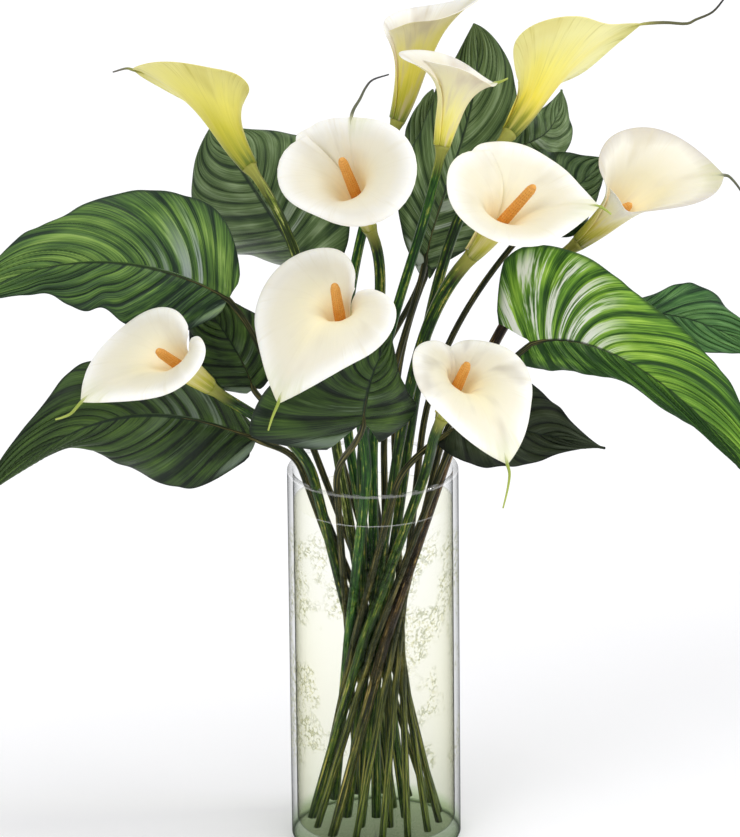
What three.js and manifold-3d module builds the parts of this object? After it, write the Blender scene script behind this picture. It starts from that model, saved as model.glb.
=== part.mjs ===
// Ten calla lilies and twelve of their leaves standing in a clear glass cylinder vase of water.
// Millimetres, +Z up, the origin at the centre of the vase's foot, the front towards -Y.
import * as THREE from "three";
import { mergeVertices } from "three/addons/utils/BufferGeometryUtils.js";
import Module from "manifold-3d";

const wasm = await Module();
wasm.setup();

// Vase and water
const vaseRadius = 60;
const vaseHeight = 275;
const vaseWall = 4;
const vaseFloor = 10;
const vaseSides = 40;
const waterLevel = 250;
const gap = 0.4; // left between two pieces that rest on each other

// The stems are straight and cross in a spiral: close together at the waist of the bundle,
// and this many times as far apart at the vase's floor and at its mouth
const stemSides = 6;
const petioleSides = 5;
const waistHeight = 150;
const mouthHeight = 276;
const spreadBelow = 2.4;
const spreadAbove = 2.65;
const rings = [
  { radius: 0, count: 1, turn: 0 },
  { radius: 8.8, count: 6, turn: 10 },
  { radius: 19, count: 15, turn: 0 },
];
const stemHeights = [vaseFloor + gap, waistHeight, mouthHeight];
const stemRadius = 3.5;
const petioleRadius = 2.6;
const holeGap = 0.4; // round each stem in the water

// Spathes: the funnel-shaped bract round each flower spike
const spatheThickness = 1.0;
const spatheBaseRadius = 5;
const tubeSlope = 8; // degrees that the tube opens by
const tubeLength = 22;
const marginOverlap = 35; // degrees that either margin passes the seam at the base
const marginGap = -5; // and at the rim, where a bloom has no rimOverlap of its own
const marginStep = 1.0; // one margin lies this far inside the funnel, the other outside
const rimCurl = 9; // mm of the rim that roll outward
const tailRadius = 1.4;

// Leaves
const leafThickness = 1.0;
const baseRounding = 0.12; // part of the midrib over which the base's corners are round, as a rule

// A bloom: base of the spathe, direction of its axis, turn of its long tip about the axis,
// lengths from the base to the tip, sides and front, how far they flare (degrees),
// and the tail that runs on from the tip, as steps from it.
const blooms = [
  {
    name: "upper_left", base: [-83, 0, 496], azimuth: 137, elevation: 41, turn: 50, seam: 4,
    tip: 96, side: 61, front: 60, notch: 7, skew: 17, peak: 10, spread: 80,
    flareTip: 39, flareSide: 54, flareFront: 79, bend: -19, curl: 33, spadix: 46,
    tail: [[-5, 0, 1], [-14, 0, -1.5]], slot: [1, 3], stemTop: 3.3,
  },
  {
    name: "centre_left", base: [-1, -25, 460], azimuth: -125, elevation: 61, turn: 178, seam: -110,
    tip: 82, side: 94, front: 69, notch: 3, skew: -6, peak: 2, spread: 82,
    flareTip: 40, flareSide: 80, flareFront: 88, bend: -12, curl: 36, spadix: 66,
    tail: [[2, 0, 6], [6, -1, 13], [10, -1, 21], [15, -2, 27], [26, -3, 31]], slot: [1, 4],
    rimOverlap: 6,
  },
  {
    name: "top", base: [20, 55, 512], azimuth: 29, elevation: 66, turn: -26, seam: 7,
    tip: 93, side: 81, front: 69, notch: 3, skew: 3, peak: 17, spread: 107,
    flareTip: 52, flareSide: 56, flareFront: 50, bend: -18, curl: 23, spadix: 48,
    tail: [[6, 0, 2], [13, 0, 3], [19, 0, 8]], slot: [1, 2], stemTop: 3.4,
  },
  {
    name: "small_top", base: [50, -20, 516], azimuth: 52, elevation: 70, turn: -37, seam: 11,
    tip: 55, side: 69, front: 74, notch: 5, skew: 8, peak: 5, spread: 61,
    flareTip: 54, flareSide: 57, flareFront: 77, bend: 9, curl: 25, spadix: 42,
    tail: [[3, 0, 1], [7, 0, 3]], slot: [0, 0], stemTop: 3.2,
  },
  {
    name: "upper_right", base: [97, 8, 516], azimuth: 45, elevation: 34, turn: -58, seam: -12,
    tip: 93, side: 82, front: 52, notch: 11, skew: -6, peak: 31, spread: 71,
    flareTip: 30, flareSide: 58, flareFront: 60, bend: -24, curl: 29, spadix: 46,
    tail: [[16, 0, 1], [31, 0, 0], [38, 0, 3], [49, 0, 8], [56, 0, 16], [59, 0, 21]], slot: [1, 0],
  },
  {
    name: "centre_right", base: [70, -45, 445], azimuth: -27, elevation: 50, turn: 28, seam: -60,
    tip: 83, side: 92, front: 77, notch: 1, skew: 2, peak: 15, spread: 70,
    flareTip: 59, flareSide: 75, flareFront: 81, bend: -16, curl: 26, spadix: 74,
    tail: [[4, -1, -2], [8, -2, -5]], slot: [1, 5], stemTop: 5, rimOverlap: 8, marginStep: 1.5,
  },
  {
    name: "right", base: [145, 20, 432], azimuth: 2, elevation: 37, turn: 34, seam: -13,
    tip: 102, side: 71, front: 60, notch: 8, skew: 16, peak: 8, spread: 84,
    flareTip: 56, flareSide: 58, flareFront: 85, bend: -24, curl: 20, spadix: 46,
    tail: [[5, 0, -2], [12, -1, -11], [14, -2, -18]], slot: [2, 0],
  },
  {
    name: "front", base: [-18, -75, 389], azimuth: -111, elevation: 70, turn: -18, seam: -22,
    tip: 79, side: 80, front: 68, notch: 20, skew: -5, peak: 29, spread: 54,
    flareTip: 110, flareSide: 90, flareFront: 58, bend: 6, curl: 34, spadix: 56,
    tail: [[-4, -2, -9], [-7, -4, -18]], slot: [2, 11],
  },
  {
    name: "left", base: [-112, -66, 359], azimuth: -149, elevation: 40, turn: -4, seam: -15,
    tip: 86, side: 81, front: 54, notch: 4, skew: -4, peak: 16, spread: 66,
    flareTip: 61, flareSide: 84, flareFront: 88, bend: -10, curl: 44, spadix: 53,
    tail: [[-7, 0, -8], [-13, 0, -11], [-18, 0, -12.5]], slot: [2, 9],
  },
  {
    name: "lower_right", base: [49, -72, 338], azimuth: -44, elevation: 62, turn: -16, seam: 13,
    tip: 80, side: 75, front: 60, notch: 6, skew: -3, peak: 24, spread: 61,
    flareTip: 85, flareSide: 73, flareFront: 81, bend: 14, curl: 29, spadix: 50,
    tail: [[1.5, -1, -7], [0, -2, -18], [-3, -2, -31]], slot: [2, 13],
  },
];

// A leaf: four points that steer its midrib from base to tip, the turn of its face away from
// the front at base and tip, the half widths and upward folds of its two sides, how far the
// base lobes reach back, the width at the base and where it is widest, and its wavy edge.
// A pinch is a side (-1 or 1), a place along the midrib, how far the margin is drawn in there
// and over what length.
const leaves = [
  {
    name: "leaf_upper_left", rib: [[-48, 54, 406], [-69, 58, 443], [-92, 78, 473], [-111, 104, 493]],
    turn: [-50, 16], halfWidth: [67, 58], fold: [-6, 6], lobe: 0.12, baseWidth: 0.5, widest: 0.33,
    taper: [1.9, 0.8], droop: 0.18, wave: 1.4, phase: 0.9, slot: [2, 5],
  },
  {
    name: "leaf_left", rib: [[-99, -6, 402], [-149, -3, 433], [-221, -35, 454], [-284, -80, 422]],
    turn: [-7, 24], halfWidth: [48, 57], fold: [15, 11], lobe: 0, baseWidth: 0.5, widest: 0.22,
    taper: [1.5, 1.1], droop: 0.11, wave: 1.8, phase: 0.1, slot: [2, 7], rounding: 0.3,
    pinches: [[-1, 0.5, 0.14, 0.05], [-1, 0.72, 0.15, 0.05]],
  },
  {
    name: "leaf_small_left", rib: [[-83, 14, 329], [-90, 13, 357], [-112, 12, 385], [-118, 11, 398]],
    turn: [4, 1], halfWidth: [31, 26], fold: [10, 12], lobe: 0.02, baseWidth: 0.37, widest: 0.31,
    taper: [1.8, 0.9], droop: 0.12, wave: 2.4, phase: 0.6, slot: [2, 6],
  },
  {
    name: "leaf_lower_left", rib: [[-81, -40, 311], [-149, -47, 343], [-204, -60, 346], [-273, -95, 284]],
    turn: [35, -75], halfWidth: [52, 56], fold: [-4, -10], lobe: 0, baseWidth: 0.5, widest: 0.19,
    taper: [1.6, 1.0], droop: 0.2, wave: 2.7, phase: -0.8, slot: [2, 8], rounding: 0.3,
    pinches: [[-1, 0.7, 0.3, 0.1]],
  },
  {
    name: "leaf_front", rib: [[-6, -90, 339], [-5, -90, 360], [1, -91, 382], [14, -92, 404]],
    turn: [22, 5], halfWidth: [90, 46], fold: [15, -3], lobe: 0.25, baseWidth: 0.6, widest: 0.17,
    taper: [1.1, 1.1], droop: 0.1, wave: 1.2, phase: -0.6, slot: [2, 10], rounding: 0.3,
  },
  {
    name: "leaf_dark_right", rib: [[58, -38, 316], [88, -42, 323], [122, -50, 314], [160, -72, 313]],
    turn: [-20, 24], halfWidth: [45, 31], fold: [9, 23], lobe: 0.15, baseWidth: 0.48, widest: 0.3,
    taper: [1.5, 1.5], droop: 0.1, wave: 2.3, phase: -0.1, slot: [2, 12],
  },
  {
    name: "leaf_right", rib: [[111, -12, 369], [157, -20, 386], [226, -45, 344], [285, -90, 264]],
    turn: [13, 29], halfWidth: [67, 25], fold: [9, 1], lobe: 0.12, baseWidth: 0.6, widest: 0.14,
    taper: [1.3, 1.0], droop: 0.15, wave: 2.1, phase: 0.5, slot: [2, 14], rounding: 0.15,
    pinches: [[-1, 0.4, 0.2, 0.12]],
  },
  {
    name: "leaf_far_right", rib: [[163, 30, 373], [215, 40, 379], [231, 60, 360], [287, 90, 322]],
    turn: [42, -33], halfWidth: [27, 23], fold: [35, 1], lobe: 0.05, baseWidth: 0.32, widest: 0.39,
    taper: [1.5, 0.9], droop: 0.08, wave: 2.6, phase: -1.0, slot: [2, 1],
  },
  {
    name: "leaf_top", rib: [[38, 26, 418], [49, 36, 470], [85, 58, 529], [74, 95, 569]],
    turn: [12, -5], halfWidth: [33, 45], fold: [18, 5], lobe: 0.03, baseWidth: 0.27, widest: 0.33,
    taper: [1.9, 0.8], droop: 0.12, wave: 2.4, phase: 0.1, slot: [1, 1],
  },
  {
    name: "leaf_top_right", rib: [[100, 74, 484], [124, 84, 489], [132, 98, 488], [136, 125, 511]],
    turn: [19, 7], halfWidth: [25, 23], fold: [16, 10], lobe: 0.22, baseWidth: 0.33, widest: 0.29,
    taper: [1.6, 1.0], droop: 0.14, wave: 2.4, phase: 0.7, slot: [2, 3],
  },
  {
    name: "leaf_top_back", rib: [[39, 54, 409], [40, 62, 441], [35, 80, 503], [45, 106, 518]],
    turn: [-35, -6], halfWidth: [22, 20], fold: [3, 13], lobe: 0.13, baseWidth: 0.29, widest: 0.33,
    taper: [1.8, 0.9], droop: 0.12, wave: 1.9, phase: 0.4, slot: [2, 4],
  },
  {
    name: "leaf_behind_right", rib: [[118, 30, 450], [135, 36, 460], [147, 44, 466], [166, 60, 481]],
    turn: [-3, 5], halfWidth: [40, 25], fold: [15, 14], lobe: 0.17, baseWidth: 0.36, widest: 0.29,
    taper: [1.7, 1.0], droop: 0.12, wave: 2.1, phase: -0.1, slot: [2, 2],
  },
];

// Colours
const colours = {
  glass: { color: 0xdfe9e4, roughness: 0.05, metalness: 0, transparent: true, opacity: 0.35 },
  water: { color: 0xd9e8d8, roughness: 0.05, metalness: 0, transparent: true, opacity: 0.4 },
  cream: { color: 0xf6f1df, roughness: 0.45, metalness: 0 },
  yellow: { color: 0xe6d877, roughness: 0.45, metalness: 0 },
  spadix: { color: 0xe58a2a, roughness: 0.6, metalness: 0 },
  stem: { color: 0x3f4a26, roughness: 0.5, metalness: 0 },
  leaf: { color: 0x2f5a2c, roughness: 0.4, metalness: 0 },
};

const part = new THREE.Group();
const upright = new THREE.Vector3(0, 0, 1);
const rad = THREE.MathUtils.degToRad;
const clamp = THREE.MathUtils.clamp;
const lerp = THREE.MathUtils.lerp;
const vec = (p) => new THREE.Vector3(...p);

// 0 below 0, 1 above 1, smooth between
function ease(x) {
  return THREE.MathUtils.smoothstep(x, 0, 1);
}

function addMesh(name, geometry, look) {
  const mesh = new THREE.Mesh(geometry, new THREE.MeshStandardMaterial(colours[look]));
  mesh.name = name;
  part.add(mesh);
}

function toGeometry(points, triangles) {
  const geometry = new THREE.BufferGeometry();
  geometry.setAttribute("position", new THREE.Float32BufferAttribute(points.flatMap((p) => [p.x, p.y, p.z]), 3));
  geometry.setIndex(triangles.flat());
  return geometry;
}

function toSolid(geometry) {
  const bare = geometry.clone();
  bare.deleteAttribute("normal");
  bare.deleteAttribute("uv");
  const merged = mergeVertices(bare, 1e-4);
  const vertProperties = merged.attributes.position.array;
  const triVerts = new Uint32Array(merged.index.array);
  return new wasm.Manifold(new wasm.Mesh({ numProp: 3, vertProperties, triVerts }));
}

function fromSolid(solid) {
  const mesh = solid.getMesh();
  const geometry = new THREE.BufferGeometry();
  geometry.setAttribute("position", new THREE.BufferAttribute(new Float32Array(mesh.vertProperties), 3));
  geometry.setIndex(new THREE.BufferAttribute(new Uint32Array(mesh.triVerts), 1));
  return geometry;
}

// A closed sheet of even thickness about a grid of points, its quads split alike on both faces
function sheet(grid, thickness) {
  const rows = grid.length;
  const columns = grid[0].length;
  const points = [];
  for (const side of [1, -1]) {
    for (let i = 0; i < rows; i++) {
      for (let j = 0; j < columns; j++) {
        const along = grid[Math.min(i + 1, rows - 1)][j].clone().sub(grid[Math.max(i - 1, 0)][j]);
        const across = grid[i][Math.min(j + 1, columns - 1)].clone().sub(grid[i][Math.max(j - 1, 0)]);
        const normal = along.cross(across).normalize();
        points.push(grid[i][j].clone().addScaledVector(normal, (side * thickness) / 2));
      }
    }
  }
  const triangles = [];
  const upper = (i, j) => i * columns + j;
  const lower = (i, j) => rows * columns + i * columns + j;
  for (let i = 0; i + 1 < rows; i++) {
    for (let j = 0; j + 1 < columns; j++) {
      const down = j * 2 < columns - 1;
      const [a, b, c, d] = [[i, j], [i + 1, j], [i + 1, j + 1], [i, j + 1]];
      const halves = down ? [[a, b, c], [a, c, d]] : [[a, b, d], [b, c, d]];
      for (const [p, q, r] of halves) {
        triangles.push([upper(...p), upper(...q), upper(...r)]);
        triangles.push([lower(...p), lower(...r), lower(...q)]);
      }
    }
  }
  const edge = [];
  for (let i = 0; i + 1 < rows; i++) edge.push([i, 0]);
  for (let j = 0; j + 1 < columns; j++) edge.push([rows - 1, j]);
  for (let i = rows - 1; i > 0; i--) edge.push([i, columns - 1]);
  for (let j = columns - 1; j > 0; j--) edge.push([0, j]);
  edge.forEach((p, k) => {
    const q = edge[(k + 1) % edge.length];
    triangles.push([upper(...p), lower(...p), upper(...q)]);
    triangles.push([upper(...q), lower(...p), lower(...q)]);
  });
  return toGeometry(points, triangles);
}

// A closed tube with flat ends along a row of points, its radius given at each. Its first end
// faces along the line, or another way that is asked for.
function tube(path, radii, sides, firstEnd = null) {
  const points = [];
  const triangles = [];
  const count = path.length;
  let across = null;
  path.forEach((p, i) => {
    const along = path[Math.min(i + 1, count - 1)].clone().sub(path[Math.max(i - 1, 0)]).normalize();
    if (i === 0 && firstEnd) along.copy(firstEnd);
    const start = across ?? new THREE.Vector3(1, 0, 0);
    across = start.clone().addScaledVector(along, -start.dot(along)).normalize();
    const other = along.clone().cross(across);
    for (let k = 0; k < sides; k++) {
      const angle = (2 * Math.PI * k) / sides;
      points.push(
        p.clone()
          .addScaledVector(across, radii[i] * Math.cos(angle))
          .addScaledVector(other, radii[i] * Math.sin(angle)),
      );
    }
  });
  for (let i = 0; i + 1 < count; i++) {
    for (let k = 0; k < sides; k++) {
      const [a, b] = [i * sides + k, i * sides + ((k + 1) % sides)];
      triangles.push([a, b, b + sides], [a, b + sides, a + sides]);
    }
  }
  const last = (count - 1) * sides;
  for (let k = 1; k + 1 < sides; k++) {
    triangles.push([0, k + 1, k], [last, last + k, last + k + 1]);
  }
  return toGeometry(points, triangles);
}

function bezier(p, t) {
  return new THREE.CubicBezierCurve3(...p).getPoint(t);
}

// Axes of a bloom: z along its axis, x towards its long tip
function bloomFrame(bloom) {
  const [a, e, r] = [bloom.azimuth, bloom.elevation, bloom.turn].map(rad);
  const z = new THREE.Vector3(Math.cos(e) * Math.cos(a), Math.cos(e) * Math.sin(a), Math.sin(e));
  const down = new THREE.Vector3(Math.sin(e) * Math.cos(a), Math.sin(e) * Math.sin(a), -Math.cos(e));
  const x = down.clone().multiplyScalar(Math.cos(r)).addScaledVector(z.clone().cross(down), Math.sin(r));
  const y = z.clone().cross(x);
  return new THREE.Matrix4().makeBasis(x, y, z).setPosition(vec(bloom.base));
}

// The middle of the spathe's sheet: u runs from one margin (-1) over the tip (0) to the other
// margin (1), v from the base (0) to the rim (1).
function spathePoint(bloom, u, v) {
  const steps = 24;
  const end = Math.PI + Math.sign(u) * rad(bloom.seam);
  const nominal = u * end;
  const c = Math.cos(nominal);
  const lengthwise = (bloom.tip - bloom.front) / 2;
  const squared = (bloom.tip + bloom.front) / 2 - bloom.side;
  const seamDistance = (end - Math.abs(nominal)) / 0.6;
  const point = Math.max(0, 1 - Math.abs(nominal) / 0.95);
  const length = bloom.side + lengthwise * c + squared * c * c + bloom.skew * Math.sin(nominal)
    - bloom.notch * Math.exp(-seamDistance * seamDistance) + bloom.peak * point * point;
  let radius = spatheBaseRadius;
  let height = 0;
  let angle = 0;
  let slope = rad(tubeSlope);
  for (let k = 0; k <= steps; k++) {
    const w = (v * k) / steps;
    const s = w * length;
    const overlap = rad(lerp(marginOverlap, bloom.rimOverlap ?? marginGap, ease(w)));
    angle = nominal + Math.sign(u) * Math.abs(u) ** 3 * overlap;
    if (k === 0) continue;
    const mid = s - (v * length) / steps / 2;
    const ca = Math.cos(angle);
    const flare = rad(bloom.flareSide) + (rad(bloom.flareTip - bloom.flareFront) / 2) * ca
      + (rad(bloom.flareTip + bloom.flareFront) / 2 - rad(bloom.flareSide)) * ca * ca;
    const open = ease((mid - tubeLength) / (bloom.spread - tubeLength));
    slope = rad(tubeSlope) + (flare - rad(tubeSlope)) * open;
    slope += (0.4 * Math.max(0, mid - bloom.spread) * (0.5 + 0.5 * ca)) / 40;
    const roll = clamp((mid - (length - rimCurl)) / rimCurl, 0, 1);
    const tipEase = 1 - 0.6 * clamp(1 - Math.abs(nominal) / 0.5, 0, 1);
    slope += rad(bloom.curl) * roll * roll * ease((length - 30) / 25) * tipEase;
    radius += (Math.sin(slope) * v * length) / steps;
    height += (Math.cos(slope) * v * length) / steps;
  }
  const step = (bloom.marginStep ?? marginStep) * u * Math.abs(u);
  radius += step * Math.cos(slope);
  height -= step * Math.sin(slope);
  const p = new THREE.Vector3(radius * Math.cos(angle), radius * Math.sin(angle), height);
  return bendOver(p, bloom.bend);
}

// Bends a bloom towards its tip by an angle spread over its first 60 mm
function bendOver(p, degrees) {
  if (Math.abs(degrees) < 0.01) return p;
  const bendLength = 60;
  const perMm = rad(degrees) / bendLength;
  const z = clamp(p.z, 0, bendLength);
  const angle = perMm * z;
  const rest = p.z - z;
  return new THREE.Vector3(
    (1 - Math.cos(angle)) / perMm + p.x * Math.cos(angle) + rest * Math.sin(angle),
    p.y,
    Math.sin(angle) / perMm - p.x * Math.sin(angle) + rest * Math.cos(angle),
  );
}

function spatheGrid(bloom, columns, rows) {
  const frame = bloomFrame(bloom);
  const grid = [];
  for (let i = 0; i < columns; i++) {
    const q = (2 * i) / (columns - 1) - 1;
    const u = Math.sign(q) * Math.abs(q) ** 1.3;
    const column = [];
    for (let j = 0; j < rows; j++) {
      const v = (j / (rows - 1)) ** 0.9;
      column.push(spathePoint(bloom, u, v).applyMatrix4(frame));
    }
    grid.push(column);
  }
  return grid;
}

function makeSpathe(bloom) {
  const grid = spatheGrid(bloom, 17, 8);
  const middle = grid[(grid.length - 1) / 2];
  const tip = middle[middle.length - 1];
  const before = middle[middle.length - 2];
  const inside = tip.clone().lerp(before, Math.min(1, 6 / tip.distanceTo(before)));
  const stops = [inside, tip.clone(), ...bloom.tail.map((d) => tip.clone().add(vec(d)))];
  const radii = stops.map((_, i) => tailRadius * lerp(1, 0.45, i / (stops.length - 1)));
  const solid = toSolid(sheet(grid, spatheThickness)).add(toSolid(tube(stops, radii, 4)));
  return fromSolid(solid);
}

// The flower spike: a short stalk in the tube and a blunt rod above it
function makeSpadix(bloom) {
  const l = bloom.spadix;
  const stations = [[0, 2.3], [11, 2.4], [15, 3.6], [l * 0.55, 3.9], [l - 5, 3.3], [l, 1.2]];
  const path = stations.map(([z]) => new THREE.Vector3(0, 0, z));
  const radii = stations.map(([, r]) => r);
  return tube(path, radii, 6).applyMatrix4(bloomFrame(bloom));
}

// Where a stem of the bundle stands at a height
function bundlePoint(slot, z) {
  const ring = rings[slot[0]];
  const mouthLean = Math.sqrt(spreadAbove ** 2 - 1);
  const floorLean = Math.sqrt(spreadBelow ** 2 - 1);
  const above = (z - waistHeight) / (mouthHeight - waistHeight);
  const below = (z - waistHeight) / (waistHeight - vaseFloor);
  const lean = z > waistHeight ? mouthLean * above : floorLean * below;
  const angle = rad((360 / ring.count) * slot[1] + ring.turn) + Math.atan(lean) - Math.atan(mouthLean);
  const distance = ring.radius * Math.hypot(1, lean);
  return new THREE.Vector3(distance * Math.cos(angle), distance * Math.sin(angle), z);
}

// A stem's line from the vase's floor to its end, which it reaches in a given direction
function stemPath(slot, end, direction, steps, reach = [0.38, 0.3]) {
  const path = stemHeights.map((z) => bundlePoint(slot, z));
  const mouth = path[path.length - 1];
  const leaving = mouth.clone().sub(bundlePoint(slot, mouthHeight - 2)).normalize();
  const distance = mouth.distanceTo(end);
  const steer = [
    mouth,
    mouth.clone().addScaledVector(leaving, distance * reach[0]),
    end.clone().addScaledVector(direction, -distance * reach[1]),
    end,
  ];
  for (let k = 1; k <= steps; k++) path.push(bezier(steer, k / steps));
  return path;
}

function makeStem(bloom) {
  const frame = bloomFrame(bloom);
  const axis = new THREE.Vector3().setFromMatrixColumn(frame, 2);
  const end = vec(bloom.base).addScaledVector(axis, -gap);
  const neck = end.clone().addScaledVector(axis, -9);
  const path = [...stemPath(bloom.slot, neck, axis, 5, bloom.reach), end];
  const top = bloom.stemTop ?? 3.9;
  const radii = path.map((_, i) => lerp(stemRadius, top, clamp((i - 2) / 5, 0, 1)));
  radii[radii.length - 1] = 5.6;
  return tube(path, radii, stemSides, upright);
}

// Half width of a leaf along its midrib, as a share of the widest
function leafWidth(leaf, t, side) {
  const rise = lerp(leaf.baseWidth, 1, Math.sin((clamp(t / leaf.widest, 0, 1) * Math.PI) / 2));
  const s = clamp((t - leaf.widest) / (1 - leaf.widest), 0, 1);
  const corner = 1 - clamp(t / (leaf.rounding ?? baseRounding), 0, 1);
  const round = 0.5 + 0.5 * Math.sqrt(1 - corner * corner);
  let width = rise * round * (1 - s ** leaf.taper[0]) ** leaf.taper[1];
  for (const [pinchSide, at, depth, length] of leaf.pinches ?? []) {
    if (pinchSide === side) width *= 1 - depth * Math.exp(-(((t - at) / length) ** 2));
  }
  return width;
}

// The way the front of the arrangement is seen from, which the leaves' faces are turned from
const facing = new THREE.Vector3(0, -Math.cos(rad(19.5)), Math.sin(rad(19.5)));

// A point of the blade: t along the midrib (0 base, 1 tip), a across it (-1 to 1)
function leafPoint(leaf, t, a) {
  const ribPoints = leaf.rib.map(vec);
  const side = Math.abs(a);
  const back = t - leaf.lobe * (1 - t) ** 3 * side ** 1.4;
  const s = clamp(back, 0, 1);
  const curve = new THREE.CubicBezierCurve3(...ribPoints);
  const slopes = [1, 2, 3].map((k) => ribPoints[k].clone().sub(ribPoints[k - 1]).multiplyScalar(3));
  const slope = slopes[0].clone().multiplyScalar((1 - s) ** 2)
    .addScaledVector(slopes[1], 2 * (1 - s) * s)
    .addScaledVector(slopes[2], s * s);
  const p = curve.getPoint(s);
  if (back < 0) p.addScaledVector(slope, back);
  const along = slope.clone().normalize();
  const front = facing.clone().addScaledVector(along, -facing.dot(along)).normalize();
  const across = along.clone().cross(front);
  const turn = rad(lerp(leaf.turn[0], leaf.turn[1], s));
  const normal = front.clone().multiplyScalar(Math.cos(turn)).addScaledVector(across, Math.sin(turn));
  const sideways = along.clone().cross(normal);
  const reach = leafWidth(leaf, t, Math.sign(a));
  const half = Math.max(a < 0 ? leaf.halfWidth[0] : leaf.halfWidth[1], 0) * reach;
  const width = a * Math.max(half, 0.7);
  const fold = rad(a < 0 ? leaf.fold[0] : leaf.fold[1]) * (1 - 0.25 * s) - leaf.droop * side * 2;
  p.addScaledVector(sideways, width * Math.cos(fold));
  p.addScaledVector(normal, Math.abs(width) * Math.sin(fold));
  const ends = Math.sin(Math.PI * clamp(t, 0.02, 0.98));
  const wave = leaf.wave * side * side * Math.sin(6 * Math.PI * t + leaf.phase + 1.3 * Math.sign(a)) * ends;
  return p.addScaledVector(normal, wave);
}

function makeLeaf(leaf) {
  const rows = 12;
  const columns = 7;
  const grid = [];
  for (let i = 0; i < rows; i++) {
    const t = (i / (rows - 1)) ** 1.15;
    const row = [];
    for (let j = 0; j < columns; j++) row.push(leafPoint(leaf, t, (2 * j) / (columns - 1) - 1));
    grid.push(row);
  }
  const rib = leaf.rib.map(vec);
  const direction = rib[1].clone().sub(rib[0]).normalize();
  const straight = rib[0].clone().sub(bundlePoint(leaf.slot, mouthHeight)).normalize();
  direction.add(straight).normalize();
  const path = stemPath(leaf.slot, rib[0], direction, 4, leaf.reach);
  const radii = path.map((_, i) => lerp(petioleRadius, 2.1, i / (path.length - 1)));
  for (const [t, r] of [[0.12, 1.6], [0.3, 0.8]]) {
    path.push(leafPoint(leaf, t, 0));
    radii.push(r);
  }
  const petiole = tube(path, radii, petioleSides, upright);
  return fromSolid(toSolid(sheet(grid, leafThickness)).add(toSolid(petiole)));
}

function lathe(profile) {
  const points = profile.map(([r, z]) => new THREE.Vector2(r, z));
  return new THREE.LatheGeometry(points, vaseSides).rotateX(Math.PI / 2);
}

// Vase
const inner = vaseRadius - vaseWall;
const vase = lathe([
  [0, 0], [vaseRadius - 1.5, 0], [vaseRadius, 1.5], [vaseRadius, vaseHeight - 1.2],
  [vaseRadius - 1.2, vaseHeight], [inner + 1.2, vaseHeight], [inner, vaseHeight - 1.2],
  [inner, vaseFloor + 3], [inner - 3, vaseFloor], [0, vaseFloor],
]);
addMesh("glass_vase", fromSolid(toSolid(vase)), "glass");

// Water, with a hole for each stem
const fill = inner - 0.4;
const waterBottom = vaseFloor + 2 * gap;
let water = toSolid(lathe([
  [0, waterBottom], [fill - 3, waterBottom], [fill, waterBottom + 3], [fill, waterLevel], [0, waterLevel],
]));
const standing = [...blooms, ...leaves];
for (const plant of standing) {
  const path = stemHeights.map((z) => bundlePoint(plant.slot, z));
  const [radius, sides] = plant.rib ? [petioleRadius, petioleSides] : [stemRadius, stemSides];
  water = water.subtract(toSolid(tube(path, path.map(() => radius + holeGap), sides, upright)));
}
addMesh("water", fromSolid(water), "water");

for (const bloom of blooms) {
  const isYellow = bloom.name.startsWith("upper");
  addMesh(`${bloom.name}_spathe`, makeSpathe(bloom), isYellow ? "yellow" : "cream");
  addMesh(`${bloom.name}_spadix`, makeSpadix(bloom), "spadix");
  addMesh(`${bloom.name}_stem`, makeStem(bloom), "stem");
}
for (const leaf of leaves) addMesh(leaf.name, makeLeaf(leaf), "leaf");

export default part;
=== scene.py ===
import bpy
import numpy as np
from math import atan, cos, pi, radians, sin, sqrt
from mathutils import Matrix, Vector


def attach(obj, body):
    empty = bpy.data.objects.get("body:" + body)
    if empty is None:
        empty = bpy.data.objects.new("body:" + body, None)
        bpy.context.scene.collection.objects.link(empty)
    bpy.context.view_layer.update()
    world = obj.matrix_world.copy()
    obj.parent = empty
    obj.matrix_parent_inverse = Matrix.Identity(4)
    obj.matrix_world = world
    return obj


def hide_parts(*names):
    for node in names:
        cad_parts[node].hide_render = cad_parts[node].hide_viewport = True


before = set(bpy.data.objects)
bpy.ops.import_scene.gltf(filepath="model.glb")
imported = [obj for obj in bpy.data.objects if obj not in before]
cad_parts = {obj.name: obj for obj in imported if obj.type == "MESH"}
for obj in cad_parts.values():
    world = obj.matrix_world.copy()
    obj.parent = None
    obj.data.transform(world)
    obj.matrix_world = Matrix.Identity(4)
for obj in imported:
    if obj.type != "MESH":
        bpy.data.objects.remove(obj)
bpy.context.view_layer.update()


mm = 0.001
print("frame loaded:", len(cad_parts), "nodes")

# Sizes below are in millimetres and degrees

studio = dict(
    viewAngle=19.5,  # degrees that the camera looks down by
    distance=5000,
    lookAt=(-1.5, 0, 311),
    roll=-0.6,
    lens=308.2,
    sensor=36,
    skyStrength=0.54,
    # suns: azimuth and elevation that the light comes from, its softness, its strength
    suns={
        "top light": (-20, 64, 40, 0.95),
        "key light": (-130, 45, 35, 0.85),
        "side light": (-4, 20, 12, 0.8),
    },
    floorSize=14,  # in metres
    floorColour=(0.86, 0.86, 0.88, 1),
    floorGlow=0.15,
)

vase = dict(
    radius=60,
    height=275,
    wall=4,
    floor=10,
    sides=96,
)

water = dict(
    level=250,
    gap=0.4,
    meniscus=1.6,
)

bundle = dict(
    waist=150,
    mouth=276,
    spreadBelow=2.4,
    spreadAbove=2.65,
    rings=[(0, 1, 0), (8.8, 6, 10), (19, 15, 0)],  # radius, how many, turn
    stemRadius=3.5,
    stalkRadius=2.6,
    sides=14,
    ridges=0.16,  # height of the fine ridges along a stem
    stalkRidges=0.08,
    neck=(9, 5.6),  # length of a stem's swollen end, and its radius under the spathe
    pointsInVase=20,
    pointsAbove=24,
)

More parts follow.
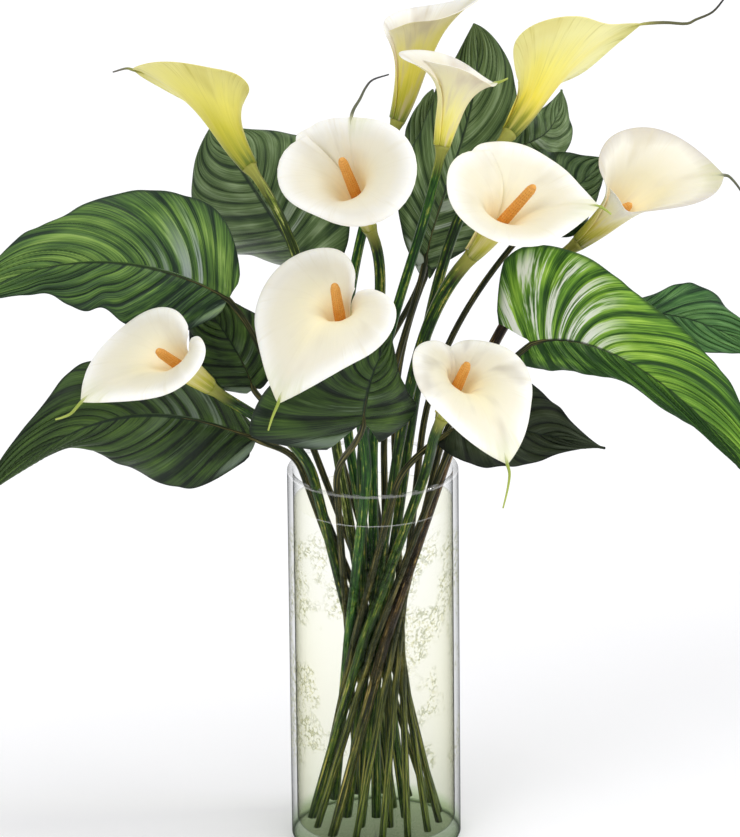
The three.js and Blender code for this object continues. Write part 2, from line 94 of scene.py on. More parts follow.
spatheForm = dict(
    baseRadius=5,
    tubeSlope=8,
    tubeLength=22,
    overlapBase=35,
    overlapRim=-5,  # where a bloom has no rimOverlap of its own
    step=1.0,
    rimCurl=9,
    tailRadius=1.4,
    thickness=(1.2, 0.55),  # at the base and at the rim
    ripple=1.1,
    pleat=0.16,
    crease=0.9,
    cornerRound=0.07,  # part of the length by which the margins' corners are drawn in
    notchWidth=0.6,  # in radians about the axis, as are the next two
    peakWidth=0.95,
    straightTip=0.5,  # where the rim curls less
    columns=97,
    rows=50,
    steps=24,  # in which the funnel's slope is added up
    tailPoints=26,
)

# Most numbers of the blooms and leaves weren't chosen by hand: a search fitted them to outlines
# that were read by eye from the photograph, and they were then rounded and in part changed.

# A bloom: base of the spathe, aim (azimuth and elevation of its axis, turn of its long tip
# about it), lengths from the base to tip, sides and front, how far these three flare, and so on
blooms = {
    "upper_left": dict(
        base=(-83, 0, 496), aim=(137, 41, 50), seam=4, lengths=(96, 61, 60), notch=7, skew=17, peak=10,
        spread=80, flare=(39, 54, 79), bend=-19, curl=33, spadix=46, tail=[(-5, 0, 1), (-14, 0, -1.5)],
        slot=(1, 3), stemTop=3.3, petal="yellow", stem="lime edged",
    ),
    "centre_left": dict(
        base=(-1, -25, 460), aim=(-125, 61, 178), seam=-110, lengths=(82, 94, 69), notch=3, skew=-6,
        peak=2, spread=82, flare=(40, 80, 88), bend=-12, curl=36, spadix=66,
        tail=[(2, 0, 6), (6, -1, 13), (10, -1, 21), (15, -2, 27), (26, -3, 31)], slot=(1, 4),
        rimOverlap=6, petal="dark tailed",
    ),
    "top": dict(
        base=(20, 55, 512), aim=(29, 66, -26), seam=7, lengths=(93, 81, 69), notch=3, skew=3, peak=17,
        spread=107, flare=(52, 56, 50), bend=-18, curl=23, spadix=48,
        tail=[(6, 0, 2), (13, 0, 3), (19, 0, 8)], slot=(1, 2), stemTop=3.4,
        petal="dusty cream", stem="green",
    ),
    "small_top": dict(
        base=(50, -20, 516), aim=(52, 70, -37), seam=11, lengths=(55, 69, 74), notch=5, skew=8, peak=5,
        spread=61, flare=(54, 57, 77), bend=9, curl=25, spadix=42, tail=[(3, 0, 1), (7, 0, 3)],
        slot=(0, 0), stemTop=3.2, petal="pale lemon", stem="green",
    ),
    "upper_right": dict(
        base=(97, 8, 516), aim=(45, 34, -58), seam=-12, lengths=(93, 82, 52), notch=11, skew=-6,
        peak=31, spread=71, flare=(30, 58, 60), bend=-24, curl=29, spadix=46, slot=(1, 0),
        tail=[(16, 0, 1), (31, 0, 0), (38, 0, 3), (49, 0, 8), (56, 0, 16), (59, 0, 21)], petal="lemon",
    ),
    "centre_right": dict(
        base=(70, -45, 445), aim=(-27, 50, 28), seam=-60, lengths=(83, 92, 77), notch=1, skew=2,
        peak=15, spread=70, flare=(59, 75, 81), bend=-16, curl=26, spadix=74,
        tail=[(4, -1, -2), (8, -2, -5)], slot=(1, 5), stemTop=5, rimOverlap=8, marginStep=1.5,
        petal="olive tubed",
    ),
    "right": dict(
        base=(145, 20, 432), aim=(2, 37, 34), seam=-13, lengths=(102, 71, 60), notch=8, skew=16, peak=8,
        spread=84, flare=(56, 58, 85), bend=-24, curl=20, spadix=46,
        tail=[(5, 0, -2), (12, -1, -11), (14, -2, -18)], slot=(2, 0), petal="pale edged", stem="brown",
    ),
    "front": dict(
        base=(-18, -75, 389), aim=(-111, 70, -18), seam=-22, lengths=(79, 80, 68), notch=20, skew=-5,
        peak=29, spread=54, flare=(110, 90, 58), bend=6, curl=34, spadix=56,
        tail=[(-4, -2, -9), (-7, -4, -18)], slot=(2, 11), stem="green",
    ),
    "left": dict(
        base=(-112, -66, 359), aim=(-149, 40, -4), seam=-15, lengths=(86, 81, 54), notch=4, skew=-4,
        peak=16, spread=66, flare=(61, 84, 88), bend=-10, curl=44, spadix=53,
        tail=[(-7, 0, -8), (-13, 0, -11), (-18, 0, -12.5)], slot=(2, 9),
    ),
    "lower_right": dict(
        base=(49, -72, 338), aim=(-44, 62, -16), seam=13, lengths=(80, 75, 60), notch=6, skew=-3,
        peak=24, spread=61, flare=(85, 73, 81), bend=14, curl=29, spadix=50,
        tail=[(1.5, -1, -7), (0, -2, -18), (-3, -2, -31)], slot=(2, 13), petal="shaded cream",
    ),
}

leafForm = dict(
    thickness=0.9,
    baseRounding=0.12,
    relief=1.9,  # how far the blade swells between two side ribs
    scallop=0.7,  # how far the margin dips at each side rib
    ruffle=1.8,  # and how far it waves in and out along the leaf
    groove=0.7,  # depth of the midrib's groove
    frill=0.9,  # fine waves of the margin
    ribRadius=(1.9, 0.35),  # of the raised midrib below, from the base to the tip
    stalkTop=2.1,
    veinSweep=(0.1, 0.75, 1.25),
    rows=150,
    columns=61,
)

# A leaf: four points that steer its midrib, the turn of its face, half widths and folds of its
# two sides, outline (width at its base, where it is widest, two powers that taper it), height and
# phase of its wave, and so on
leaves = {
    "upper_left": dict(
        rib=[(-48, 54, 406), (-69, 58, 443), (-92, 78, 473), (-111, 104, 493)], turn=(-50, 16),
        halfWidth=(67, 58), fold=(-6, 6), lobe=0.12, outline=(0.5, 0.33, 1.9, 0.8),
        droop=0.18, wave=(1.4, 0.9), slot=(2, 5), veins=12, look="silver",
    ),
    "left": dict(
        rib=[(-99, -6, 402), (-149, -3, 433), (-221, -35, 454), (-284, -80, 422)], turn=(-7, 24),
        halfWidth=(48, 57), fold=(15, 11), lobe=0, outline=(0.5, 0.22, 1.5, 1.1),
        droop=0.11, wave=(1.8, 0.1), slot=(2, 7), rounding=0.3, veins=17, look="bright",
        pinches=[(-1, 0.5, 0.14, 0.05), (-1, 0.72, 0.15, 0.05)], shadedSide=-0.35,
    ),
    "small_left": dict(
        rib=[(-83, 14, 329), (-90, 13, 357), (-112, 12, 385), (-118, 11, 398)], turn=(4, 1),
        halfWidth=(31, 26), fold=(10, 12), lobe=0.02, outline=(0.37, 0.31, 1.8, 0.9),
        droop=0.12, wave=(2.4, 0.6), slot=(2, 6), veins=9, look="deep",
    ),
    "lower_left": dict(
        rib=[(-81, -40, 311), (-149, -47, 343), (-204, -60, 346), (-273, -95, 284)], turn=(35, -75),
        halfWidth=(52, 56), fold=(-4, -10), lobe=0, outline=(0.5, 0.19, 1.6, 1.0),
        droop=0.2, wave=(2.7, -0.8), slot=(2, 8), rounding=0.3, veins=16, look="deep",
        pinches=[(-1, 0.7, 0.3, 0.1)],
    ),
    "front": dict(
        rib=[(-6, -90, 339), (-5, -90, 360), (1, -91, 382), (14, -92, 404)], turn=(22, 5),
        halfWidth=(90, 46), fold=(15, -3), lobe=0.25, outline=(0.6, 0.17, 1.1, 1.1),
        droop=0.1, wave=(1.2, -0.6), slot=(2, 10), rounding=0.3, veins=8, look="deep",
    ),
    "dark_right": dict(
        rib=[(58, -38, 316), (88, -42, 323), (122, -50, 314), (160, -72, 313)], turn=(-20, 24),
        halfWidth=(45, 31), fold=(9, 23), lobe=0.15, outline=(0.48, 0.3, 1.5, 1.5),
        droop=0.1, wave=(2.3, -0.1), slot=(2, 12), veins=10, look="dark",
    ),
    "right": dict(
        rib=[(111, -12, 369), (157, -20, 386), (226, -45, 344), (285, -90, 264)], turn=(13, 29),
        halfWidth=(67, 25), fold=(9, 1), lobe=0.12, outline=(0.6, 0.14, 1.3, 1.0),
        droop=0.15, wave=(2.1, 0.5), slot=(2, 14), rounding=0.15, veins=19,
        pinches=[(-1, 0.4, 0.2, 0.12)], look="variegated", shadedSide=0.7,
    ),
    "far_right": dict(
        rib=[(163, 30, 373), (215, 40, 379), (231, 60, 360), (287, 90, 322)], turn=(42, -33),
        halfWidth=(27, 23), fold=(35, 1), lobe=0.05, outline=(0.32, 0.39, 1.5, 0.9),
        droop=0.08, wave=(2.6, -1.0), slot=(2, 1), veins=13, look="emerald",
    ),
    "top": dict(
        rib=[(38, 26, 418), (49, 36, 470), (85, 58, 529), (74, 95, 569)], turn=(12, -5),
        halfWidth=(33, 45), fold=(18, 5), lobe=0.03, outline=(0.27, 0.33, 1.9, 0.8),
        droop=0.12, wave=(2.4, 0.1), slot=(1, 1), veins=14, look="silver",
    ),
    "top_right": dict(
        rib=[(100, 74, 484), (124, 84, 489), (132, 98, 488), (136, 125, 511)], turn=(19, 7),
        halfWidth=(25, 23), fold=(16, 10), lobe=0.22, outline=(0.33, 0.29, 1.6, 1.0),
        droop=0.14, wave=(2.4, 0.7), slot=(2, 3), veins=7, look="silver",
    ),
    "top_back": dict(
        rib=[(39, 54, 409), (40, 62, 441), (35, 80, 503), (45, 106, 518)], turn=(-35, -6),
        halfWidth=(22, 20), fold=(3, 13), lobe=0.13, outline=(0.29, 0.33, 1.8, 0.9),
        droop=0.12, wave=(1.9, 0.4), slot=(2, 4), veins=10, look="silver",
    ),
    "behind_right": dict(
        rib=[(118, 30, 450), (135, 36, 460), (147, 44, 466), (166, 60, 481)], turn=(-3, 5),
        halfWidth=(40, 25), fold=(15, 14), lobe=0.17, outline=(0.36, 0.29, 1.7, 1.0),
        droop=0.12, wave=(2.1, -0.1), slot=(2, 2), veins=7, look="pale",
    ),
}


# Shapes

def ease(x):
    x = np.clip(x, 0, 1)
    return x * x * (3 - 2 * x)


def lerp(a, b, t):
    return a + (b - a) * t


def unit(v):
    return v / np.maximum(np.linalg.norm(v, axis=-1, keepdims=True), 1e-9)


def dot(a, b):
    return np.sum(a * b, axis=-1, keepdims=True)


def addObject(name, data):
    made = bpy.data.objects.new(name, data)
    bpy.context.collection.objects.link(made)
    return made


def fromPolar(radius, angle, height):
    grid = np.broadcast_arrays(radius * np.cos(angle), radius * np.sin(angle), height)
    return np.stack(grid, axis=-1)


# A mesh object from points in millimetres, with named numbers kept on its points
def makeObject(name, points, faces, numbers, finish):
    mesh = bpy.data.meshes.new(name)
    mesh.from_pydata((np.asarray(points) * mm).tolist(), [], faces)
    for key, values in numbers.items():
        layer = mesh.attributes.new(key, "FLOAT", "POINT")
        layer.data.foreach_set("value", np.asarray(values, dtype=np.float32))
    mesh.materials.append(finish)
    mesh.update()
    mesh.shade_smooth()
    return addObject(name, mesh)


# Joins parts given as (points, faces, numbers); a number that a part lacks is 0 on it
def joinParts(parts):
    faces = []
    start = 0
    for part in parts:
        faces += [tuple(i + start for i in face) for face in part[1]]
        start += len(part[0])
    joined = {}
    for key in sorted({key for part in parts for key in part[2]}):
        joined[key] = np.concatenate([part[2].get(key, np.zeros(len(part[0]))) for part in parts])
    return np.concatenate([part[0] for part in parts]), faces, joined


def normalsOf(grid):
    along = np.gradient(grid, axis=0)
    across = np.gradient(grid, axis=1)
    return unit(np.cross(along, across))


# A closed sheet about a grid of points, with rounded edges
def sheetPart(grid, thickness, numbers):
    shape = grid.shape[:2]
    count = shape[0] * shape[1]
    index = np.arange(count).reshape(shape)
    corners = (index[:-1, :-1], index[1:, :-1], index[1:, 1:], index[:-1, 1:])
    a, b, c, d = (x.ravel() for x in corners)
    faces = np.stack([a, b, c, d], 1).tolist()
    faces += (np.stack([a, d, c, b], 1) + count).tolist()
    half = np.broadcast_to(np.asarray(thickness, dtype=float), shape)[..., None] / 2
    normals = normalsOf(grid)
    upper = (grid + normals * half).reshape(-1, 3)
    lower = (grid - normals * half).reshape(-1, 3)
    # all round its margin, the points beside the edge, and a rim just outside it
    edge = np.concatenate([index[:-1, 0], index[-1, :-1], index[:0:-1, -1], index[0, :0:-1]])
    beside = np.concatenate([index[:-1, 1], index[-2, :-1], index[:0:-1, -2], index[1, :0:-1]])
    flat = grid.reshape(-1, 3)
    rim = flat[edge] - unit(flat[beside] - flat[edge]) * half.reshape(-1, 1)[edge] * 0.9
    rimIndex = 2 * count + np.arange(len(edge))
    nextEdge = np.roll(edge, -1)
    nextRim = np.roll(rimIndex, -1)
    faces += np.stack([edge, rimIndex, nextRim, nextEdge], 1).tolist()
    faces += np.stack([rimIndex, edge + count, nextEdge + count, nextRim], 1).tolist()
    kept = {"inner": np.repeat([1, 0, 0.5], [count, count, len(edge)])}
    for key, values in numbers.items():
        values = np.broadcast_to(values, shape).ravel()
        kept[key] = np.concatenate([values, values, values[edge]])
    return np.concatenate([upper, lower, rim]), faces, kept


# Quads between rings of points that follow one another
def ringFaces(count, sides):
    faces = []
    for i in range(count - 1):
        for k in range(sides):
            a = i * sides + k
            b = i * sides + (k + 1) % sides
            faces.append((a, b, b + sides, a + sides))
    return faces


# Faces of a closed form of rings, with a middle point at each end
def closedFaces(count, sides):
    faces = ringFaces(count, sides)
    first = count * sides
    last = first - sides
    for k in range(sides):
        n = (k + 1) % sides
        faces += [(first, n, k), (first + 1, last + k, last + n)]
    return faces


# A closed round tube along a row of points
def tubePart(path, radii, sides, numbers, ridges=0.0, flatFoot=False):
    path = np.asarray(path, dtype=float)
    count = len(path)
    along = unit(np.gradient(path, axis=0))
    if flatFoot:
        along[0] = (0, 0, 1)
    across = np.array([1.0, 0, 0])
    angles = 2 * pi * np.arange(sides) / sides
    rings = []
    for i in range(count):
        across = unit(across - along[i] * np.dot(across, along[i]))
        other = np.cross(along[i], across)
        radius = radii[i] + ridges * np.cos(angles * sides / 2)
        half = path[i] + np.outer(np.cos(angles) * radius, across)
        rings.append(half + np.outer(np.sin(angles) * radius, other))
    travel = np.concatenate([[0], np.cumsum(np.linalg.norm(np.diff(path, axis=0), axis=1))])
    kept = {}
    for key, values in {**numbers, "travel": travel}.items():
        values = np.broadcast_to(np.asarray(values, dtype=float), (count,))
        kept[key] = np.concatenate([np.repeat(values, sides), values[:1], values[-1:]])
    for key, values in {"roundX": np.cos(angles), "roundY": np.sin(angles)}.items():
        kept[key] = np.concatenate([np.tile(values, count), [0, 0]])
    return np.concatenate(rings + [path[:1], path[-1:]]), closedFaces(count, sides), kept


# A form turned about the vase's axis, from radii and heights that start and end on it
def lathePart(profile, sides):
    angles = 2 * pi * np.arange(sides) / sides
    r, z = np.array(profile[1:-1], dtype=float).T[..., None]
    ends = [(0, 0, profile[0][1]), (0, 0, profile[-1][1])]
    points = np.concatenate([fromPolar(r, angles, z).reshape(-1, 3), ends])
    return points, closedFaces(len(profile) - 2, sides), {}


def bezier(p, t):
    t = t[..., None]
    s = 1 - t
    return s ** 3 * p[0] + 3 * s ** 2 * t * p[1] + 3 * s * t * t * p[2] + t ** 3 * p[3]


def bezierSlope(p, t):
    t = t[..., None]
    s = 1 - t
    return 3 * (s ** 2 * (p[1] - p[0]) + 2 * s * t * (p[2] - p[1]) + t * t * (p[3] - p[2]))


def towards(azimuth, elevation):
    a, e = radians(azimuth), radians(elevation)
    return np.array([cos(e) * cos(a), cos(e) * sin(a), sin(e)])


# Axes of a bloom: z along its axis, x towards its long tip
def bloomAxes(bloom):
    azimuth, elevation, turn = bloom["aim"]
    z = towards(azimuth, elevation)
    down = towards(azimuth, elevation - 90)
    x = down * cos(radians(turn)) + np.cross(z, down) * sin(radians(turn))
    return x, np.cross(z, x), z


def toBloom(bloom, p):
    x, y, z = bloomAxes(bloom)
    return np.array(bloom["base"]) + p[..., :1] * x + p[..., 1:2] * y + p[..., 2:] * z


# Bends a bloom towards its tip by an angle spread over its first 60 mm
def bendOver(p, degrees):
    bendLength = 60
    perMm = radians(degrees) / bendLength
    z = np.clip(p[..., 2], 0, bendLength)
    angle = perMm * z
    rest = p[..., 2] - z
    x = (1 - np.cos(angle)) / perMm + p[..., 0] * np.cos(angle) + rest * np.sin(angle)
    up = np.sin(angle) / perMm - p[..., 0] * np.sin(angle) + rest * np.cos(angle)
    return np.stack([x, p[..., 1], up], axis=-1)


# A value that goes round a bloom, from its tip over its side to its front
def around(tip, side, front, c):
    return side + (tip - front) / 2 * c + ((tip + front) / 2 - side) * c * c


# The middle of the spathe's sheet: u from one margin (-1) over the tip (0) to the other (1),
# v from the base (0) to the rim (1)
def spatheSheet(bloom, u, v):
    form = spatheForm
    end = pi + np.sign(u) * radians(bloom["seam"])
    nominal = u * end
    fromTip = np.abs(nominal)
    fromSeam = (end - fromTip) / form["notchWidth"]
    peaked = np.maximum(0, 1 - fromTip / form["peakWidth"]) ** 2
    length = around(*bloom["lengths"], np.cos(nominal)) + bloom["skew"] * np.sin(nominal)
    length = length - bloom["notch"] * np.exp(-fromSeam ** 2) + bloom["peak"] * peaked
    curling = 1 - 0.6 * np.clip(1 - fromTip / form["straightTip"], 0, 1)
    curling = curling * ease((length - 30) / 25)
    tube = radians(form["tubeSlope"])
    flares = np.radians(bloom["flare"])
    spread = bloom["spread"]
    radius = np.full(u.shape, float(form["baseRadius"]))
    height = np.zeros(u.shape)
    overlaps = (form["overlapBase"], bloom.get("rimOverlap", form["overlapRim"]))
    lead = np.sign(u) * np.abs(u) ** 3

    def turned(w):  # the angle about the axis, with the margins' overlap
        return nominal + lead * np.radians(lerp(*overlaps, ease(w)))

    steps = form["steps"]
    for k in range(1, steps + 1):
        w = v * k / steps
        mid = w * length - v * length / steps / 2
        c = np.cos(turned(w))
        opened = ease((mid - form["tubeLength"]) / (spread - form["tubeLength"]))
        slope = tube + (around(*flares, c) - tube) * opened
        slope = slope + 0.4 * np.maximum(0, mid - spread) * (0.5 + 0.5 * c) / 40
        roll = np.clip((mid - (length - form["rimCurl"])) / form["rimCurl"], 0, 1)
        slope = slope + radians(bloom["curl"]) * roll ** 2 * curling
        radius = radius + np.sin(slope) * v * length / steps
        height = height + np.cos(slope) * v * length / steps
    step = bloom.get("marginStep", form["step"]) * u * np.abs(u)
    radius = radius + step * np.cos(slope)
    height = height - step * np.sin(slope)
    return toBloom(bloom, bendOver(fromPolar(radius, turned(v), height), bloom["bend"]))


def smoothPath(stops, count):
    stops = np.asarray(stops, dtype=float)
    padded = np.concatenate([2 * stops[:1] - stops[1:2], stops, 2 * stops[-1:] - stops[-2:-1]])
    found = []
    for x in np.linspace(0, len(stops) - 1.0001, count):
        i = int(x)
        t = x - i
        a, b, c, d = padded[i:i + 4]
        curve = 2 * b + (c - a) * t + (2 * a - 5 * b + 4 * c - d) * t ** 2
        found.append(0.5 * (curve + (3 * b - a - 3 * c + d) * t ** 3))
    return np.array(found)


def spatheParts(bloom, seed):
    form = spatheForm
    q = np.linspace(-1, 1, form["columns"])
    fromBase = np.linspace(0, 1, form["rows"]) ** 0.9
    u, v = np.meshgrid(np.sign(q) * np.abs(q) ** 1.15, fromBase, indexing="ij")
    v = v * (1 - form["cornerRound"] * ease((np.abs(u) - 0.86) / 0.14) ** 2)
    grid = spatheSheet(bloom, u, v)
    waves = np.sin(9 * u + seed * 2.1) + 0.6 * np.sin(17 * u + seed)
    pleats = np.sin(27 * u + 0.8 * np.sin(5 * v + seed))
    relief = form["ripple"] * v ** 4 * waves * np.abs(u) ** 0.5
    relief = relief + form["pleat"] * ease(v / 0.4) * (1 - 0.5 * v) * pleats
    crease = form["crease"] * np.exp(-(u / 0.035) ** 2) * ease((v - 0.45) / 0.4)
    grid = grid + normalsOf(grid) * (relief - crease)[..., None]
    thickness = lerp(*form["thickness"], ease(v * 1.4))
    sheet = sheetPart(grid, thickness, {"across": u, "along": v})
    sheet[2]["inner"] = 1 - sheet[2]["inner"]  # its grid's normals point outward
    middle = grid[form["columns"] // 2]
    tip = middle[-1]
    stops = [middle[-6], tip] + [tip + np.array(d) for d in bloom["tail"]]
    t = np.linspace(0, 1, form["tailPoints"])
    radii = form["tailRadius"] * lerp(1, 0.4, t) * np.minimum(1, 0.12 + 4.5 * t)
    tail = tubePart(smoothPath(stops, form["tailPoints"]), radii, 8, {"along": 1 + t})
    return [sheet, tail]


# The flower spike, set with small knobs in spiral rows
spikeForm = dict(
    foot=(11, 15),  # its bare foot's end, and where it has swelled
    radii=[2.3, 2.4, 3.6, 3.9, 3.3, 2.2, 0.5],  # from its foot to its tip
    knobHeight=0.24,
    knobTurn=3.3,  # mm in which the rows of knobs turn once
    sides=60,
    rows=74,
)


def spadixParts(bloom):
    form = spikeForm
    length = bloom["spadix"]
    sides = form["sides"]
    z = np.linspace(0, length, form["rows"])
    heights = [0, *form["foot"], length * 0.55, length - 5, length - 1.4, length]
    radius = np.interp(z, heights, form["radii"])
    knobby = ease((z - form["foot"][0] - 1) / 3) * ease((length - z) / 1.5)
    angles = 2 * pi * np.arange(sides) / sides
    turn = z[:, None] * 2 * pi / form["knobTurn"]
    knobs = np.cos(8 * angles + turn) * np.cos(7 * angles - turn) * knobby[:, None]
    r = radius[:, None] + form["knobHeight"] * knobs
    points = fromPolar(r, angles, z[:, None])
    faces = ringFaces(len(z), sides)
    last = (len(z) - 1) * sides
    faces += [tuple(range(sides - 1, -1, -1)), tuple(range(last, last + sides))]
    numbers = {"along": np.repeat(z / length, sides), "knob": knobs.ravel()}
    return [(toBloom(bloom, points).reshape(-1, 3), faces, numbers)]


# Where a stem of the bundle, a straight line of a spiral, stands at a height
def bundlePoint(slot, z):
    ringRadius, count, turn = bundle["rings"][slot[0]]
    mouthLean = sqrt(bundle["spreadAbove"] ** 2 - 1)
    floorLean = sqrt(bundle["spreadBelow"] ** 2 - 1)
    fromWaist = z - bundle["waist"]
    above = mouthLean * np.maximum(fromWaist, 0) / (bundle["mouth"] - bundle["waist"])
    lean = above + floorLean * np.minimum(fromWaist, 0) / (bundle["waist"] - vase["floor"])
    angle = radians(360 / count * slot[1] + turn) + np.arctan(lean) - atan(mouthLean)
    return fromPolar(ringRadius * np.hypot(1, lean), angle, z)


def stemPath(slot, end, direction):
    z = np.linspace(vase["floor"] + water["gap"], bundle["mouth"], bundle["pointsInVase"])
    inVase = bundlePoint(slot, z)
    mouth = inVase[-1]
    leaving = unit(mouth - bundlePoint(slot, np.array(bundle["mouth"] - 2.0)))
    distance = np.linalg.norm(end - mouth)
    steer = [mouth, mouth + leaving * distance * 0.38, end - direction * distance * 0.3, end]
    above = bezier(steer, np.linspace(0, 1, bundle["pointsAbove"] + 1)[1:])
    return np.concatenate([inVase, above])


def stemParts(bloom):
    axis = bloomAxes(bloom)[2]
    end = np.array(bloom["base"]) - axis * water["gap"]
    neckLength, neckRadius = bundle["neck"]
    neck = end - axis * neckLength
    path = stemPath(bloom["slot"], neck, axis)
    path = np.concatenate([path, [lerp(neck, end, t) for t in (0.35, 0.7, 1)]])
    top = bloom.get("stemTop", 3.9)
    rise = (np.arange(len(path)) + 1 - bundle["pointsInVase"]) / bundle["pointsAbove"]
    radii = lerp(bundle["stemRadius"], top, np.clip(rise, 0, 1))
    radii[-3:] = [lerp(top, neckRadius, t) for t in (0.2, 0.6, 1)]
    numbers = {"along": path[:, 2] / path[-1, 2]}
    return [tubePart(path, radii, bundle["sides"], numbers, bundle["ridges"], True)]


def leafWidth(leaf, t, a):
    base, widest, *taper = leaf["outline"]
    rise = lerp(base, 1, np.sin(np.clip(t / widest, 0, 1) * pi / 2))
    s = np.clip((t - widest) / (1 - widest), 0, 1)
    corner = 1 - np.clip(t / leaf.get("rounding", leafForm["baseRounding"]), 0, 1)
    roundness = 0.5 + 0.5 * np.sqrt(1 - corner ** 2)
    width = rise * roundness * (1 - s ** taper[0]) ** taper[1]
    for side, at, depth, length in leaf.get("pinches", []):
        width = width * (1 - depth * np.exp(-((t - at) / length) ** 2) * (np.sign(a) == side))
    return width


facing = towards(-90, studio["viewAngle"])  # leaves show their faces to the front


# The blade: t along the midrib (0 base, 1 tip), a across it (-1 to 1)
def leafSheet(leaf, t, a):
    rib = np.array(leaf["rib"], dtype=float)
    side = np.abs(a)
    back = t - leaf["lobe"] * (1 - t) ** 3 * side ** 1.4
    s = np.clip(back, 0, 1)
    slope = bezierSlope(rib, s)
    p = bezier(rib, s) + slope * np.minimum(back, 0)[..., None]
    along = unit(slope)
    front = unit(facing - along * dot(along, facing))
    across = np.cross(along, front)
    turn = np.radians(lerp(*leaf["turn"], s))[..., None]
    normal = front * np.cos(turn) + across * np.sin(turn)
    sideways = np.cross(along, normal)
    half = np.where(a < 0, *leaf["halfWidth"]) * leafWidth(leaf, t, a)
    width = a * np.maximum(half, 0.7)
    fold = np.radians(np.where(a < 0, *leaf["fold"])) * (1 - 0.25 * s)
    fold = fold - leaf["droop"] * side * 2
    p = p + sideways * (width * np.cos(fold))[..., None]
    p = p + normal * (np.abs(width) * np.sin(fold))[..., None]
    height, phase = leaf["wave"]
    wave = height * side ** 2 * np.sin(6 * pi * t + phase + 1.3 * np.sign(a))
    return p + normal * (wave * np.sin(pi * np.clip(t, 0.02, 0.98)))[..., None]


def leafParts(leaf, seed):
    form = leafForm
    rows = np.linspace(0, 1, form["rows"]) ** 0.95
    t, a = np.meshgrid(rows, np.linspace(1, -1, form["columns"]), indexing="ij")
    grid = leafSheet(leaf, t, a)
    side = np.abs(a)
    start, gain, power = form["veinSweep"]
    vein = leaf["veins"] * (t - start * side ** power) / (1 + gain * side ** power)
    vein = vein + 20 + 7.37 * (a > 0)  # so no two ribs of a leaf have the same whole number
    vein = vein + 0.2 * np.sin(1.7 * vein + seed) + 0.07 * np.sin(4.1 * vein + 2.3 * seed)
    swell = 0.5 - 0.5 * np.cos(2 * pi * vein)
    outward = -unit(np.gradient(grid, axis=1)) * np.sign(a)[..., None]
    dips = form["scallop"] * (swell - 0.5) * side ** 10
    waves = form["ruffle"] * np.sin(2 * pi * vein * 0.29 + 1.7 * seed + a) * side ** 4
    grid = grid + outward * ((dips + waves) * np.sin(pi * t))[..., None]
    span = ease(side / 0.12) * (1 - ease((side - 0.8) / 0.2)) * (1 - ease((t - 0.85) / 0.15))
    relief = form["relief"] * (swell ** 0.6 - 0.5) * span
    frill = np.sin(31 * t + 2.3 * seed + 2 * np.sign(a)) * np.sin(pi * t)
    relief = relief + form["frill"] * side ** 6 * frill
    groove = form["groove"] * np.exp(-(a / 0.045) ** 2) * (1 - t)
    grid = grid + normalsOf(grid) * (relief - groove)[..., None]
    thickness = form["thickness"] * lerp(1, 0.55, ease((side - 0.75) / 0.25))
    # Painted shade: the half of the blade on the side given by shadedSide's sign is coloured darker and
    # glints less, by its size
    plain = leaf.get("shadedSide", 0)
    bright = 1 - abs(plain) * ease(a * np.sign(plain) / 0.04)
    blade = sheetPart(grid, thickness, {"across": a, "along": t, "vein": vein, "bright": bright})

    # The stalk runs up from the vase's floor and on under the blade as its midrib
    rib = np.array(leaf["rib"], dtype=float)
    fromMouth = unit(rib[0] - bundlePoint(leaf["slot"], np.array(float(bundle["mouth"]))))
    path = stemPath(leaf["slot"], rib[0], unit(unit(rib[1] - rib[0]) + fromMouth))
    radii = lerp(bundle["stalkRadius"], form["stalkTop"], np.arange(len(path)) / (len(path) - 1))
    ribT = np.linspace(0.04, 0.96, 24)
    under = leafSheet(leaf, ribT, ribT * 0)
    row = (ribT ** (1 / 0.95) * (form["rows"] - 1)).astype(int)
    below = normalsOf(grid)[row, form["columns"] // 2]
    ribRadius = lerp(*form["ribRadius"], ribT ** 0.7)
    under = under - below * (ribRadius * 0.45 + form["groove"])[:, None] * ease(ribT / 0.1)[:, None]
    path = np.concatenate([path, under])
    radii = np.concatenate([radii, ribRadius])
    numbers = {"along": path[:, 2] / rib[0, 2], "stalk": 1}
    return [blade, tubePart(path, radii, 10, numbers, bundle["stalkRidges"], True)]


# Finishes

def operator(name, reflected=False):
    def apply(wire, other=0.0):
        pair = [other, wire] if reflected else [wire, other]
        return wire.finish.node("Math", {"operation": name}, pair)
    return apply


class Wire:  # one shader value; an expression on it adds its Math nodes
    def __init__(self, finish, socket):
        self.finish = finish
        self.socket = socket

    __add__, __radd__ = operator("ADD"), operator("ADD", True)
    __sub__, __rsub__ = operator("SUBTRACT"), operator("SUBTRACT", True)
    __mul__, __rmul__ = operator("MULTIPLY"), operator("MULTIPLY", True)
    __truediv__ = operator("DIVIDE")
    __pow__ = operator("POWER")
    abs = operator("ABSOLUTE")
    cosine = operator("COSINE")
    floor = operator("FLOOR")

    def step(self, low, high):  # 0 at low, 1 at high, smooth between
        values = {"Value": self, "From Min": low, "From Max": high}
        return self.finish.node("MapRange", {"interpolation_type": "SMOOTHSTEP"}, values)


